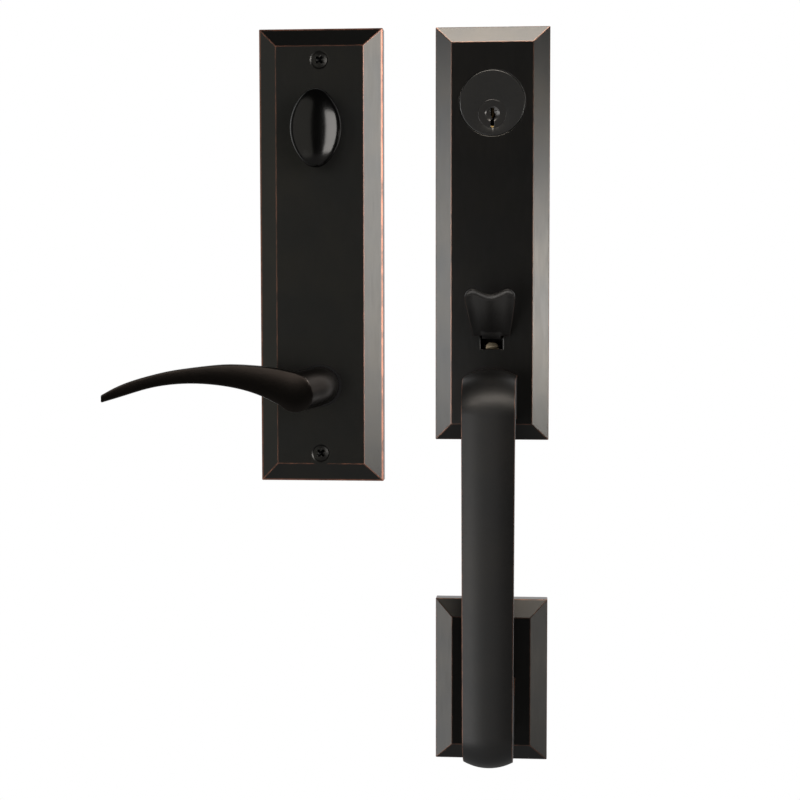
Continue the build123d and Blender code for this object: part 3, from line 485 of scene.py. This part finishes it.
class Finishes:
    """All the finishes of the handleset, made once."""

    BRUSHED_UP: ClassVar[Point] = (1.0, 1.0, 0.06)
    KEYWAY_FOOT: ClassVar[Circle] = (0.0, KEYWAY_FOOT_Z, 0.0009)

    def __init__(self) -> None:
        """Makes each material."""
        self.make_plates()
        self.make_handles()
        self.make_cylinder()
        self.make_plain_metals()

    def make_plates(self) -> None:
        """Makes the finishes of the bevelled plates and of their screws."""
        self.outside_plate = RubbedBronze(
            "outside_plate_bronze", (0.040, 0.0395, 0.0385), (0.046, 0.0435, 0.040), metallic=0.96,
            roughness=(0.29, 0.34), grain=1200.0, stretch=self.BRUSHED_UP, soften=0.0008,
            wear_radius=0.0009, wear_turn=(0.005, 0.022), wear=0.75,
            spared=((0.0, FACE_Z, 0.021), (0.0, SLOT_Z, 0.0155))).make()
        self.inside_plate = RubbedBronze(
            "inside_plate_bronze", (0.040, 0.0395, 0.0370), (0.046, 0.0435, 0.0385), metallic=0.93,
            roughness=(0.29, 0.34), grain=1200.0, stretch=self.BRUSHED_UP, soften=0.0006,
            copper=RED_COPPER, wear_radius=0.0009, wear_turn=(0.006, 0.030), wear=0.9, brushed=0.25,
            rim=0.00755, spared=((INSIDE_X, LEVER_Z, 0.0135), (INSIDE_X, TURN_Z, 0.0090),
                                 (INSIDE_X, SCREW_HIGH_Z, 0.0070), (INSIDE_X, SCREW_LOW_Z, 0.0070))).make()
        # The screws' cross recesses are painted black as shade.
        self.screw = RubbedBronze(
            "screw_bronze", (0.026, 0.0255, 0.0240), (0.030, 0.0285, 0.0250), metallic=0.9,
            roughness=(0.34, 0.40), recess_shade_depth=0.0126).make()

    def make_handles(self) -> None:
        """Makes the finishes of what the hand takes hold of."""
        self.grip = RubbedBronze(
            "grip_bronze", (0.038, 0.0375, 0.0370), (0.043, 0.0410, 0.0390), metallic=0.92,
            roughness=(0.40, 0.46), grain=1400.0, relief=0.05, stretch=(0.1, 1.0, 1.0), soften=0.0005,
            wear_radius=0.0010, wear_turn=(0.012, 0.07), wear=0.9).make()
        self.lever = RubbedBronze(
            "lever_bronze", (0.031, 0.0270, 0.0240), (0.036, 0.0300, 0.0260), roughness=(0.31, 0.36),
            relief=0.006).make()
        self.turn = RubbedBronze(
            "turn_bronze", (0.029, 0.0280, 0.0270), (0.033, 0.0315, 0.0300), roughness=(0.17, 0.20),
            relief=0.006).make()
        self.thumb = RubbedBronze(
            "thumb_bronze", (0.042, 0.0405, 0.0390), (0.048, 0.0450, 0.0420), metallic=0.85,
            roughness=(0.36, 0.42), soften=0.0010, wear_radius=0.0005, wear=0.15).make()

    def make_cylinder(self) -> None:
        """Makes the turned finishes of the key cylinder's face and plug."""
        self.cylinder = RubbedBronze(
            "cylinder_bronze", (0.044, 0.0435, 0.0430), (0.049, 0.0480, 0.0460), metallic=0.8,
            roughness=(0.30, 0.36), rings=Lathe.DOOR_AXIS, centre=(0.0, 0.0, FACE_Z),
            gilded=self.KEYWAY_FOOT).make()
        self.plug = RubbedBronze(
            "plug_bronze", (0.046, 0.0450, 0.0440), (0.052, 0.0500, 0.0480), metallic=0.8,
            roughness=(0.28, 0.34), soften=0.0004, rings=Lathe.DOOR_AXIS, centre=(0.0, 0.0, PLUG_Z),
            gilded=self.KEYWAY_FOOT).make()

    def make_plain_metals(self) -> None:
        """Makes the finishes of the mechanism."""
        self.hub = Finish("hub_brass", (0.50, 0.41, 0.28), (0.42, 0.33, 0.21), roughness=(0.30, 0.40)).make()
        self.brass = Finish("bare_brass", (0.58, 0.42, 0.20), (0.46, 0.31, 0.14), roughness=(0.24, 0.40)).make()
        self.zinc = Finish("zinc_steel", (0.50, 0.50, 0.48), (0.40, 0.41, 0.42), roughness=(0.28, 0.45),
                           grain=700.0, stretch=(1.0, 1.0, 0.15)).make()
        # Painted shade: the latch chassis is coloured near black so that the thumb slot in front of it looks
        # dark, as shade would make it.
        self.black = Finish("blackened_steel", (0.012, 0.012, 0.012), (0.020, 0.019, 0.018),
                            roughness=(0.45, 0.60)).make()
        self.steel = Finish("bolt_steel", (0.42, 0.42, 0.43), (0.33, 0.33, 0.34), roughness=(0.28, 0.42)).make()
        self.spring = Finish("spring_steel", (0.30, 0.30, 0.32), (0.24, 0.24, 0.25),
                             roughness=(0.22, 0.34)).make()
        self.nylon = Finish("bearing_black", (0.005, 0.005, 0.005), (0.008, 0.0075, 0.007), metallic=0.0,
                            roughness=(0.50, 0.65), relief=0.1, sheen=0.15).make()


def link_new(name: str, mesh: bpy.types.Mesh) -> bpy.types.Object:
    """Adds an object with that mesh to the scene.

    Args:
        name: The object's name.
        mesh: Its mesh.

    Returns:
        The new object.
    """
    thing = bpy.data.objects.new(name, mesh)
    bpy.context.scene.collection.objects.link(thing)
    return thing


@dataclass(frozen=True)
class Coil:
    """A wound wire, or a row of them.

    Args:
        radius: From the axis to the middle of the wire, in metres.
        wire: Half of the wire's thickness.
        turns: How many times it goes round.
        length: Its length along the axis.
        start: The middle of its first end.
        facing: Its turn from upright, in radians.
        count: How many stand in the row.
        step: From one to the next.
    """

    radius: float
    wire: float
    turns: float
    length: float
    start: Point
    facing: Point = INTO_DOOR
    count: int = 1
    step: Point = (0.0, 0.0, 0.0)


class Winder(Wiring):
    """Winds springs and screw threads with one Geometry Nodes tree."""

    INPUTS: ClassVar[tuple[tuple[str, str], ...]] = (
        ("Geometry", "NodeSocketGeometry"), ("Radius", "NodeSocketFloat"), ("Wire", "NodeSocketFloat"),
        ("Turns", "NodeSocketFloat"), ("Length", "NodeSocketFloat"), ("Start", "NodeSocketVector"),
        ("Facing", "NodeSocketVector"), ("Count", "NodeSocketInt"), ("Step", "NodeSocketVector"),
        ("Finish", "NodeSocketMaterial"))
    POINTS_A_TURN: ClassVar[int] = 24
    SIDES_OF_WIRE: ClassVar[int] = 6

    def __init__(self) -> None:
        """Builds the tree: a spiral, swept with a round wire and set down in a row."""
        super().__init__(bpy.data.node_groups.new("wound_wire", "GeometryNodeTree"))
        for name, kind in self.INPUTS:
            self.tree.interface.new_socket(name, in_out="INPUT", socket_type=kind)
        self.tree.interface.new_socket("Geometry", in_out="OUTPUT", socket_type="NodeSocketGeometry")
        given = self.add("NodeGroupInput")
        sweep = self.sweep_spiral(given)
        row = self.add("GeometryNodeMeshLine")
        placed = self.add("GeometryNodeInstanceOnPoints")
        real = self.add("GeometryNodeRealizeInstances")
        smooth = self.add("GeometryNodeSetShadeSmooth")
        painted = self.add("GeometryNodeSetMaterial")
        result = self.add("NodeGroupOutput")
        for name, target, into in (("Count", row, "Count"), ("Start", row, "Start Location"),
                                   ("Step", row, "Offset"), ("Facing", placed, "Rotation"),
                                   ("Finish", painted, "Material")):
            self.join(given, name, target, into)
        self.join(row, 0, placed, "Points")
        self.join(sweep, 0, placed, "Instance")
        for source, target in ((placed, real), (real, smooth), (smooth, painted), (painted, result)):
            self.join(source, 0, target, 0)

    def sweep_spiral(self, given: bpy.types.Node) -> bpy.types.Node:
        """Adds the nodes that sweep one spiral with a round wire.

        Args:
            given: The tree's input node.

        Returns:
            The node that gives the swept mesh.
        """
        spiral = self.add("GeometryNodeCurveSpiral", Resolution=self.POINTS_A_TURN)
        wire = self.add("GeometryNodeCurvePrimitiveCircle", Resolution=self.SIDES_OF_WIRE)
        sweep = self.add("GeometryNodeCurveToMesh", Fill_Caps=True)
        for name, target, into in (("Turns", spiral, "Rotations"), ("Radius", spiral, "Start Radius"),
                                   ("Radius", spiral, "End Radius"), ("Length", spiral, "Height"),
                                   ("Wire", wire, "Radius")):
            self.join(given, name, target, into)
        self.join(spiral, 0, sweep, "Curve")
        self.join(wire, 0, sweep, "Profile Curve")
        return sweep

    def wind(self, coil: Coil, material: bpy.types.Material) -> bpy.types.Mesh:
        """Winds a coil or a row of coils.

        Args:
            coil: Its sizes.
            material: Its finish.

        Returns:
            A plain mesh.
        """
        holder = link_new("coil", bpy.data.meshes.new("coil"))
        winding = holder.modifiers.new("winding", "NODES")
        winding.node_group = self.tree
        values = {"Radius": coil.radius, "Wire": coil.wire, "Turns": coil.turns, "Length": coil.length,
                  "Start": coil.start, "Facing": coil.facing, "Count": coil.count, "Step": coil.step,
                  "Finish": material}
        for item in self.tree.interface.items_tree:
            if item.name in values:
                winding[item.identifier] = values[item.name]
        graph = bpy.context.evaluated_depsgraph_get()
        mesh = bpy.data.meshes.new_from_object(holder.evaluated_get(graph), depsgraph=graph)
        bpy.data.objects.remove(holder)
        LOG.info("coil: %d faces in a row of %d", len(mesh.polygons), coil.count)
        return mesh


@dataclass
class SubAssembly:
    """A group of pieces that are fitted together.

    Args:
        finishes: The materials to dress them in.
        winder: The maker of springs and threads.
        pieces: The pieces that are built.
        sharp_angle: The edge angle, in degrees, above which an edge stays sharp.
    """

    JOINED: ClassVar[float] = 2e-6
    SLIVER: ClassVar[float] = 1e-7

    finishes: Finishes
    winder: Winder
    pieces: list[bpy.types.Object] = field(default_factory=list)
    sharp_angle: float = 28.0

    def build(self) -> None:
        """Builds and dresses every piece of the group."""
        raise NotImplementedError

    def refine(self, node: str, material: bpy.types.Material) -> bpy.types.Object:
        """Makes a smooth-shaded piece that stands for a CAD node.

        Args:
            node: The CAD node's name.
            material: The piece's material.

        Returns:
            The new piece.
        """
        mesh = frame["nodes"][node].data.copy()
        mesh.name = f"{node}_shown"
        form = bmesh.new()
        form.from_mesh(mesh)
        bmesh.ops.remove_doubles(form, verts=form.verts, dist=self.JOINED)
        bmesh.ops.dissolve_degenerate(form, edges=form.edges, dist=self.SLIVER)
        form.to_mesh(mesh)
        form.free()
        mesh.shade_smooth()
        mesh.set_sharp_from_angle(angle=math.radians(self.sharp_angle))
        mesh.materials.clear()
        mesh.materials.append(material)
        piece = link_new(f"{node}_shown", mesh)
        weighted = piece.modifiers.new("even_normals", "WEIGHTED_NORMAL")
        weighted.weight = 100
        weighted.keep_sharp = True
        return self.stand_for(piece, node)

    def soften(self, piece: bpy.types.Object, step: float, rounds: int) -> None:
        """Gives a cast piece an even mesh with gently rounded edges.

        Args:
            piece: The piece.
            step: The size of its new faces, in metres.
            rounds: How many times its points are smoothed.
        """
        piece.modifiers.clear()
        grid = piece.modifiers.new("even_mesh", "REMESH")
        grid.mode = "VOXEL"
        grid.voxel_size = step
        grid.use_smooth_shade = True
        smooth = piece.modifiers.new("rounded_edges", "SMOOTH")
        smooth.factor = 0.5
        smooth.iterations = rounds
        graph = bpy.context.evaluated_depsgraph_get()
        mesh = bpy.data.meshes.new_from_object(piece.evaluated_get(graph), depsgraph=graph)
        material = piece.data.materials[0]
        piece.modifiers.clear()
        piece.data = mesh
        mesh.materials.clear()
        mesh.materials.append(material)
        mesh.shade_smooth()
        LOG.info("%s: %d faces after rounding", piece.name, len(mesh.polygons))

    def stand_for(self, piece: bpy.types.Object, node: str) -> bpy.types.Object:
        """Lets a piece ride on a CAD node's body and stand for that node.

        Args:
            piece: The finished piece.
            node: The CAD node's name.

        Returns:
            The same piece.
        """
        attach(piece, BODY_OF[node])
        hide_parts(node)
        self.pieces.append(piece)
        LOG.info("%s: %d faces, on %s", piece.name, len(piece.data.polygons), BODY_OF[node])
        return piece

    def thread(self, node: str, material: bpy.types.Material, coil: Coil) -> None:
        """Makes a bolt or a screw that stands for a CAD node, with its thread wound on it.

        Args:
            node: The CAD node's name.
            material: The piece's material.
            coil: The thread.
        """
        piece = self.refine(node, material)
        form = bmesh.new()
        form.from_mesh(piece.data)
        form.from_mesh(self.winder.wind(coil, material))
        form.to_mesh(piece.data)
        form.free()

    def dress(self, material: bpy.types.Material, nodes: Iterable[str]) -> None:
        """Gives smooth copies of several CAD nodes one finish."""
        for node in nodes:
            self.refine(node, material)


@dataclass
class OutsidePlates(SubAssembly):
    """The tall outside plate and the lower plate at the grip's foot."""

    sharp_angle: float = 5.0

    def build(self) -> None:
        """Builds and dresses both plates."""
        self.dress(self.finishes.outside_plate, ("exterior_plate", "lower_rosette"))


@dataclass
class Grip(SubAssembly):
    """The bowed pull, its screws and the stud at its foot.

    Args:
        stud_thread: The thread of the stud through the door.
        screw_threads: The threads of the two screws in the upper leg.
    """

    stud_thread: Coil = Coil(0.0029, 0.0003, 34.0, 0.0430, (0.0, 0.0490, -0.1810))
    screw_threads: Coil = Coil(0.0023, 0.0002, 15.0, 0.0150, (0.0, -0.0108, -0.0195), count=2,
                               step=(0.0, 0.0, 0.0090))

    def build(self) -> None:
        """Builds and dresses the pull and what fixes it."""
        self.dress(self.finishes.grip, ("grip",))
        self.thread("lower_stud", self.finishes.steel, self.stud_thread)
        self.thread("grip_screws", self.finishes.steel, self.screw_threads)


@dataclass
class KeyCylinder(SubAssembly):
    """The key cylinder with its plug, pins and springs.

    Args:
        springs: The five springs in the pin chambers.
    """

    springs: Coil = Coil(0.00121, 0.00017, 9.0, 0.00780, (0.0, -0.0064, 0.1519), UPRIGHT, 5,
                         (0.0, 0.0040, 0.0))

    def build(self) -> None:
        """Builds and dresses the cylinder, its plug and what they hold."""
        self.dress(self.finishes.cylinder, ("cylinder_body",))
        self.dress(self.finishes.plug, ("cylinder_plug",))
        self.dress(self.finishes.brass, ("key_pins", "driver_pins", "chamber_caps", "plug_cap"))
        self.dress(self.finishes.zinc, ("cylinder_nut", "cylinder_tailpiece"))
        wound = link_new("pin_springs_shown", self.winder.wind(self.springs, self.finishes.spring))
        self.stand_for(wound, "pin_springs")


@dataclass
class ThumbLatch(SubAssembly):
    """The thumb piece, its chassis, the lift cam, the hub and the spindle."""

    def build(self) -> None:
        """Builds and dresses the latch works."""
        self.dress(self.finishes.thumb, ("thumbpiece",))
        self.dress(self.finishes.hub, ("spindle_hub",))
        self.dress(self.finishes.zinc, ("chassis_screws",))
        # The chassis wears the near-black painted shade, so the slot in front of it looks dark.
        self.dress(self.finishes.black, ("latch_chassis",))
        self.dress(self.finishes.steel, ("mounting_posts", "thumb_pivot_pin", "lift_cam", "latch_spindle"))
        self.dress(self.finishes.spring, ("hub_clip", "hub_spring"))


@dataclass
class InsidePlate(SubAssembly):
    """The tall inside plate."""

    sharp_angle: float = 5.0

    def build(self) -> None:
        """Builds and dresses the plate."""
        self.dress(self.finishes.inside_plate, ("interior_plate",))


@dataclass
class InsideScrews(SubAssembly):
    """The screws that hold the inside half together and to the door.

    Args:
        plate_threads: The threads of the two crossed-slot screws.
        lever_threads: The threads of the lever's two through bolts.
        turn_threads: The threads of the turn piece's two through bolts.
    """

    plate_threads: Coil = Coil(0.0020, 0.0003, 11.0, 0.0190, (INSIDE_X, 0.0182, SCREW_HIGH_Z), count=2,
                               step=(0.0, 0.0, SCREW_LOW_Z - SCREW_HIGH_Z))
    lever_threads: Coil = Coil(0.0024, 0.0002, 30.0, 0.0240, (-0.1140, 0.0375, LEVER_Z), count=2,
                               step=(0.0390, 0.0, 0.0))
    turn_threads: Coil = Coil(0.0024, 0.0002, 30.0, 0.0240, (-0.1053, 0.0375, 0.1375), count=2,
                              step=(0.0216, 0.0, 0.0))

    def build(self) -> None:
        """Builds and dresses the screws and bolts."""
        self.thread("plate_screws", self.finishes.screw, self.plate_threads)
        self.dress(self.finishes.zinc, ("mounting_screws",))
        self.thread("lever_bolts", self.finishes.zinc, self.lever_threads)
        self.thread("turn_bolts", self.finishes.zinc, self.turn_threads)


@dataclass
class TurnPiece(SubAssembly):
    """The oval turn piece of the deadbolt, its clip and its mount."""

    def build(self) -> None:
        """Builds and dresses the turn piece and what holds it."""
        self.dress(self.finishes.turn, ("thumbturn",))
        self.dress(self.finishes.zinc, ("turn_mount",))
        self.dress(self.finishes.spring, ("turn_clip",))


@dataclass
class LeverSet(SubAssembly):
    """The wave-shaped lever, its bearing and its return spring.

    Args:
        mesh_step: The size of the faces of the lever's even mesh, in metres.
        rounds: How many times the lever's edges are smoothed.
    """

    mesh_step: float = 0.0004
    rounds: int = 6

    def build(self) -> None:
        """Builds and dresses the lever and what lies behind it."""
        self.soften(self.refine("lever", self.finishes.lever), self.mesh_step, self.rounds)
        self.dress(self.finishes.nylon, ("neck_bushing",))
        self.dress(self.finishes.zinc, ("spring_cup", "lever_mount"))
        self.dress(self.finishes.steel, ("lever_driver",))
        self.dress(self.finishes.spring, ("lever_snap_ring", "lever_spring"))


@dataclass(frozen=True)
class Softbox:
    """A soft lamp, placed by the direction in which the object sees it.

    Args:
        name: The lamp's name.
        lit: The group of pieces that it lights.
        side: Its direction in degrees, to the right of the viewer's, as seen from the object.
        rise: Its direction in degrees, above the horizon.
        size: Its width and height, in metres.
        glow: The brightness of its face, where 1 is white.
        colour: The colour of its light.
        target: The point that it faces, in metres.
        distance: How far it is from that point, in metres.
    """

    name: str
    lit: Lit
    side: float
    rise: float
    size: tuple[float, float]
    glow: float
    colour: Colour
    target: Point
    distance: float = 1.25

    def hang(self, lit: bpy.types.Collection, between: bpy.types.Collection | None) -> bpy.types.Object:
        """Hangs the lamp.

        Args:
            lit: The things that it lights.
            between: The things that can shade them from it, or None for all.

        Returns:
            The lamp.
        """
        data = bpy.data.lights.new(self.name, "AREA")
        data.shape = "RECTANGLE"
        data.size, data.size_y = self.size
        data.energy = self.glow * math.pi * self.size[0] * self.size[1]
        data.color = self.colour
        lamp = bpy.data.objects.new(self.name, data)
        side, rise = math.radians(self.side), math.radians(self.rise)
        way = Vector((math.sin(side) * math.cos(rise), -math.cos(side) * math.cos(rise), math.sin(rise)))
        lamp.location = Vector(self.target) + way * self.distance
        lamp.rotation_euler = (-way).to_track_quat("-Z", "Y").to_euler()
        bpy.context.scene.collection.objects.link(lamp)
        lamp.light_linking.receiver_collection = lit
        if between is not None:
            lamp.light_linking.blocker_collection = between
        return lamp


COOL, PLAIN, SOFT_WARM = (0.98, 0.99, 1.0), (1.0, 1.0, 1.0), (1.0, 0.98, 0.95)
WARM, ROSY, GREENISH, PINKISH = (1.0, 0.93, 0.85), (1.0, 0.93, 0.88), (1.0, 1.0, 0.94), (1.0, 0.985, 1.0)
AT_GRIP, AT_THUMB, AT_INSIDE = (0.0, 0.0, -0.03), (0.0, 0.0, 0.02), (INSIDE_X, 0.0, 0.05)

LAMPS = (
    Softbox("plates_left", Lit.PLATES, -63.0, 0.0, (1.0, 0.50), 6.4, COOL, (0.0, 0.0, 0.06)),
    Softbox("plates_right", Lit.PLATES, 66.0, 0.0, (0.55, 0.24), 19.0, SOFT_WARM, (0.0, 0.0, 0.035)),
    Softbox("plates_top", Lit.PLATES, -3.0, 70.0, (0.9, 0.6), 15.0, WARM, (0.0, 0.0, 0.1), 1.2),
    Softbox("plates_front", Lit.PLATES, -34.0, -16.0, (0.4, 0.4), 2.0, PLAIN, (-0.01, 0.0, -0.02), 0.5),
    Softbox("foot_left", Lit.FOOT, -72.0, -19.0, (0.6, 0.7), 4.0, COOL, AT_GRIP),
    Softbox("foot_right", Lit.FOOT, 68.0, -14.0, (0.5, 0.5), 2.2, SOFT_WARM, AT_GRIP),
    Softbox("foot_top", Lit.FOOT, 24.0, 66.0, (0.5, 0.6), 10.0, WARM, AT_GRIP, 1.2),
    Softbox("hand_left", Lit.HAND, -50.0, -30.0, (1.0, 1.3), 2.4, COOL, AT_GRIP),
    Softbox("hand_front", Lit.HAND, 0.0, -10.0, (1.2, 1.4), 0.42, COOL, AT_GRIP, 1.4),
    Softbox("hand_high", Lit.HAND, 12.0, 42.0, (3.4, 0.24), 10.0, WARM, (0.0, 0.0, 0.0)),
    Softbox("thumb_low", Lit.THUMB, -4.0, -66.0, (2.4, 0.6), 5.0, PLAIN, AT_THUMB),
    Softbox("thumb_high", Lit.THUMB, 0.0, 56.0, (2.0, 0.6), 2.6, PLAIN, AT_THUMB),
    Softbox("thumb_spot", Lit.THUMB, -14.0, 34.0, (0.12, 0.12), 30.0, PLAIN, AT_THUMB),
    Softbox("inside_right", Lit.REST, 50.0, 8.0, (1.0, 0.72), 9.0, PINKISH, AT_INSIDE),
    Softbox("inside_left", Lit.REST, -53.0, 0.0, (1.8, 2.2), 0.5, GREENISH, AT_INSIDE),
    Softbox("inside_front", Lit.REST, -16.0, -4.0, (0.7, 1.2), 0.15, GREENISH, AT_INSIDE, 1.4),
    Softbox("knob_right", Lit.KNOB, 46.0, 0.0, (1.1, 1.6), 7.2, PLAIN, AT_INSIDE),
    Softbox("knob_left", Lit.KNOB, -50.0, 0.0, (1.8, 2.8), 0.60, GREENISH, AT_INSIDE),
    Softbox("lever_high", Lit.LEVER, -27.0, 31.0, (2.0, 0.8), 1.8, ROSY, AT_INSIDE),
    Softbox("lever_right", Lit.LEVER, 80.0, 46.0, (0.8, 0.5), 11.0, PLAIN, AT_INSIDE),
    Softbox("lever_rear", Lit.LEVER, 100.0, 30.0, (1.4, 1.6), 0.5, ROSY, AT_INSIDE),
    Softbox("ground_light", Lit.GROUND, 0.0, 89.0, (2.2, 2.2), 0.3, PLAIN, (0.0, 0.0, FLOOR_Z), 2.6),
)


@dataclass
class Studio:
    """The camera, the lamps, the floor and the backdrop.

    Args:
        outside: The pieces of the outside half.
        inside: The pieces of the inside half.
        camera_place: Where the camera stands, in metres.
        camera_turn: How it is turned, in degrees.
        lens: The lens, in millimetres.
        sensor: The width of the picture behind the lens, in millimetres.
        shift: How far the picture is moved sideways, as a share of its width.
        sky: The brightness of the room for soft light.
        room: The brightness of the dim front of the room, where it is mirrored.
        floor_size: The length of the floor's sides, in metres.
        floor_grey: The floor's own colour.
        floor_glow: How much white the camera sees on the floor beside its own colour.
    """

    outside: list[bpy.types.Object]
    inside: list[bpy.types.Object]
    camera_place: Point = (0.032, -0.8726, 0.0395)
    camera_turn: Point = (86.32, 0.0, 4.36)
    lens: float = 70.65
    sensor: float = 36.0
    shift: float = -0.03825
    sky: float = 0.3
    room: float = 0.04
    floor_size: float = 3.0
    floor_grey: float = 0.82
    floor_glow: float = 0.86

    def build(self) -> None:
        """Sets up the whole studio."""
        self.set_view()
        self.add_camera()
        self.add_world()
        floor = self.add_floor()
        self.add_lamps(floor)

    def set_view(self) -> None:
        """Shows colours as they are written."""
        bpy.context.scene.view_settings.view_transform = "Standard"

    def add_camera(self) -> None:
        """Puts the camera where the photograph was taken from."""
        data = bpy.data.cameras.new("camera")
        data.lens = self.lens
        data.sensor_width = self.sensor
        data.shift_x = self.shift
        data.clip_start = 0.01
        camera = bpy.data.objects.new("camera", data)
        camera.location = self.camera_place
        camera.rotation_euler = Euler([math.radians(value) for value in self.camera_turn])
        bpy.context.scene.collection.objects.link(camera)
        bpy.context.scene.camera = camera

    def add_world(self) -> None:
        """Lights the room softly: white behind the object, and dim in front where metal mirrors it."""
        world = bpy.data.worlds.new("room")
        world.use_nodes = True
        sheet = Wiring(world.node_tree)
        background = sheet.tree.nodes["Background"]
        background.inputs["Color"].default_value = (1.0, 1.0, 1.0, 1.0)
        path = sheet.add("ShaderNodeLightPath")
        place = sheet.add("ShaderNodeTexCoord")
        parts = sheet.add("ShaderNodeSeparateXYZ")
        sheet.join(place, "Generated", parts, 0)
        mirrored = sheet.add("ShaderNodeMapRange", interpolation_type="SMOOTHSTEP", From_Min=0.1, From_Max=0.7,
                             To_Min=self.room, To_Max=1.0)
        sheet.join(parts, "Y", mirrored, "Value")
        soft = sheet.add("ShaderNodeMix")
        soft.inputs[2].default_value = self.sky
        sheet.join(path, "Is Glossy Ray", soft, 0)
        sheet.join(mirrored, 0, soft, 3)
        seen = sheet.add("ShaderNodeMath", operation="MAXIMUM")
        sheet.join(path, "Is Camera Ray", seen, 0)
        sheet.join(path, "Is Transmission Ray", seen, 1)
        strength = sheet.add("ShaderNodeMix")
        strength.inputs[3].default_value = 1.0
        sheet.join(seen, 0, strength, 0)
        sheet.join(soft, 0, strength, 2)
        sheet.join(strength, 0, background, "Strength")
        bpy.context.scene.world = world

    def add_floor(self) -> bpy.types.Object:
        """Lays a plain pale floor well below the handleset.

        Returns:
            The floor.
        """
        sheet = NodeSheet("pale_floor")
        sheet.shader.inputs["Base Color"].default_value = (*([self.floor_grey] * 3), 1.0)
        sheet.shader.inputs["Roughness"].default_value = 0.9
        sheet.shader.inputs["Emission Color"].default_value = (1.0, 1.0, 1.0, 1.0)
        path = sheet.add("ShaderNodeLightPath")
        seen = sheet.add("ShaderNodeMath", operation="MULTIPLY")
        seen.inputs[1].default_value = self.floor_glow
        sheet.join(path, "Is Camera Ray", seen, 0)
        sheet.join(seen, 0, sheet.shader, "Emission Strength")
        bpy.ops.mesh.primitive_plane_add(size=self.floor_size, location=(0.0, 0.0, FLOOR_Z))
        floor = bpy.context.active_object
        floor.name = "floor"
        floor.data.materials.append(sheet.material)
        return floor

    def gather(self, name: str, things: Iterable[bpy.types.Object]) -> bpy.types.Collection:
        """Groups the things that a lamp lights.

        Args:
            name: The group's name.
            things: What goes into it.

        Returns:
            The new group.
        """
        group = bpy.data.collections.new(name)
        for thing in things:
            group.objects.link(thing)
        return group

    def pick(self, things: list[bpy.types.Object], start: str) -> list[bpy.types.Object]:
        """Picks the things whose names begin in one way."""
        return [thing for thing in things if thing.name.startswith(start)]

    def add_lamps(self, floor: bpy.types.Object) -> None:
        """Hangs the soft lamps round the object: the two halves were lit one by one.

        Args:
            floor: The floor, which has a lamp of its own.
        """
        outside = self.gather("outside_half", self.outside)
        inside = self.gather("inside_half", self.inside)
        alone = {Lit.HAND: self.pick(self.outside, "grip_shown"),
                 Lit.THUMB: self.pick(self.outside, "thumbpiece"),
                 Lit.FOOT: self.pick(self.outside, "lower_rosette"),
                 Lit.LEVER: self.pick(self.inside, "lever_shown"),
                 Lit.KNOB: self.pick(self.inside, "thumbturn"),
                 Lit.GROUND: [floor]}
        apart = [thing for things in alone.values() for thing in things]
        alone[Lit.PLATES] = [thing for thing in self.outside if thing not in apart]
        alone[Lit.REST] = [thing for thing in self.inside if thing not in apart]
        groups = {lit: self.gather(lit.value, things) for lit, things in alone.items()}
        between = {Lit.PLATES: outside, Lit.FOOT: outside, Lit.HAND: outside, Lit.THUMB: outside,
                   Lit.REST: inside, Lit.KNOB: inside, Lit.LEVER: inside, Lit.GROUND: None}
        for lamp in LAMPS:
            lamp.hang(groups[lamp.lit], between[lamp.lit])


def main() -> None:
    """Builds the handleset's pieces, then the studio."""
    logging.basicConfig(level=logging.INFO, format="%(name)s: %(message)s")
    finishes = Finishes()
    winder = Winder()
    halves = {}
    for name, groups in (("outside", (OutsidePlates, Grip, KeyCylinder, ThumbLatch)),
                         ("inside", (InsidePlate, LeverSet, TurnPiece, InsideScrews))):
        halves[name] = []
        for group in groups:
            built = group(finishes, winder)
            built.build()
            halves[name] += built.pieces
            LOG.info("%s half, %s: %d pieces", name, group.__name__, len(built.pieces))
    Studio(halves["outside"], halves["inside"]).build()


if __name__ == "__main__":
    main()
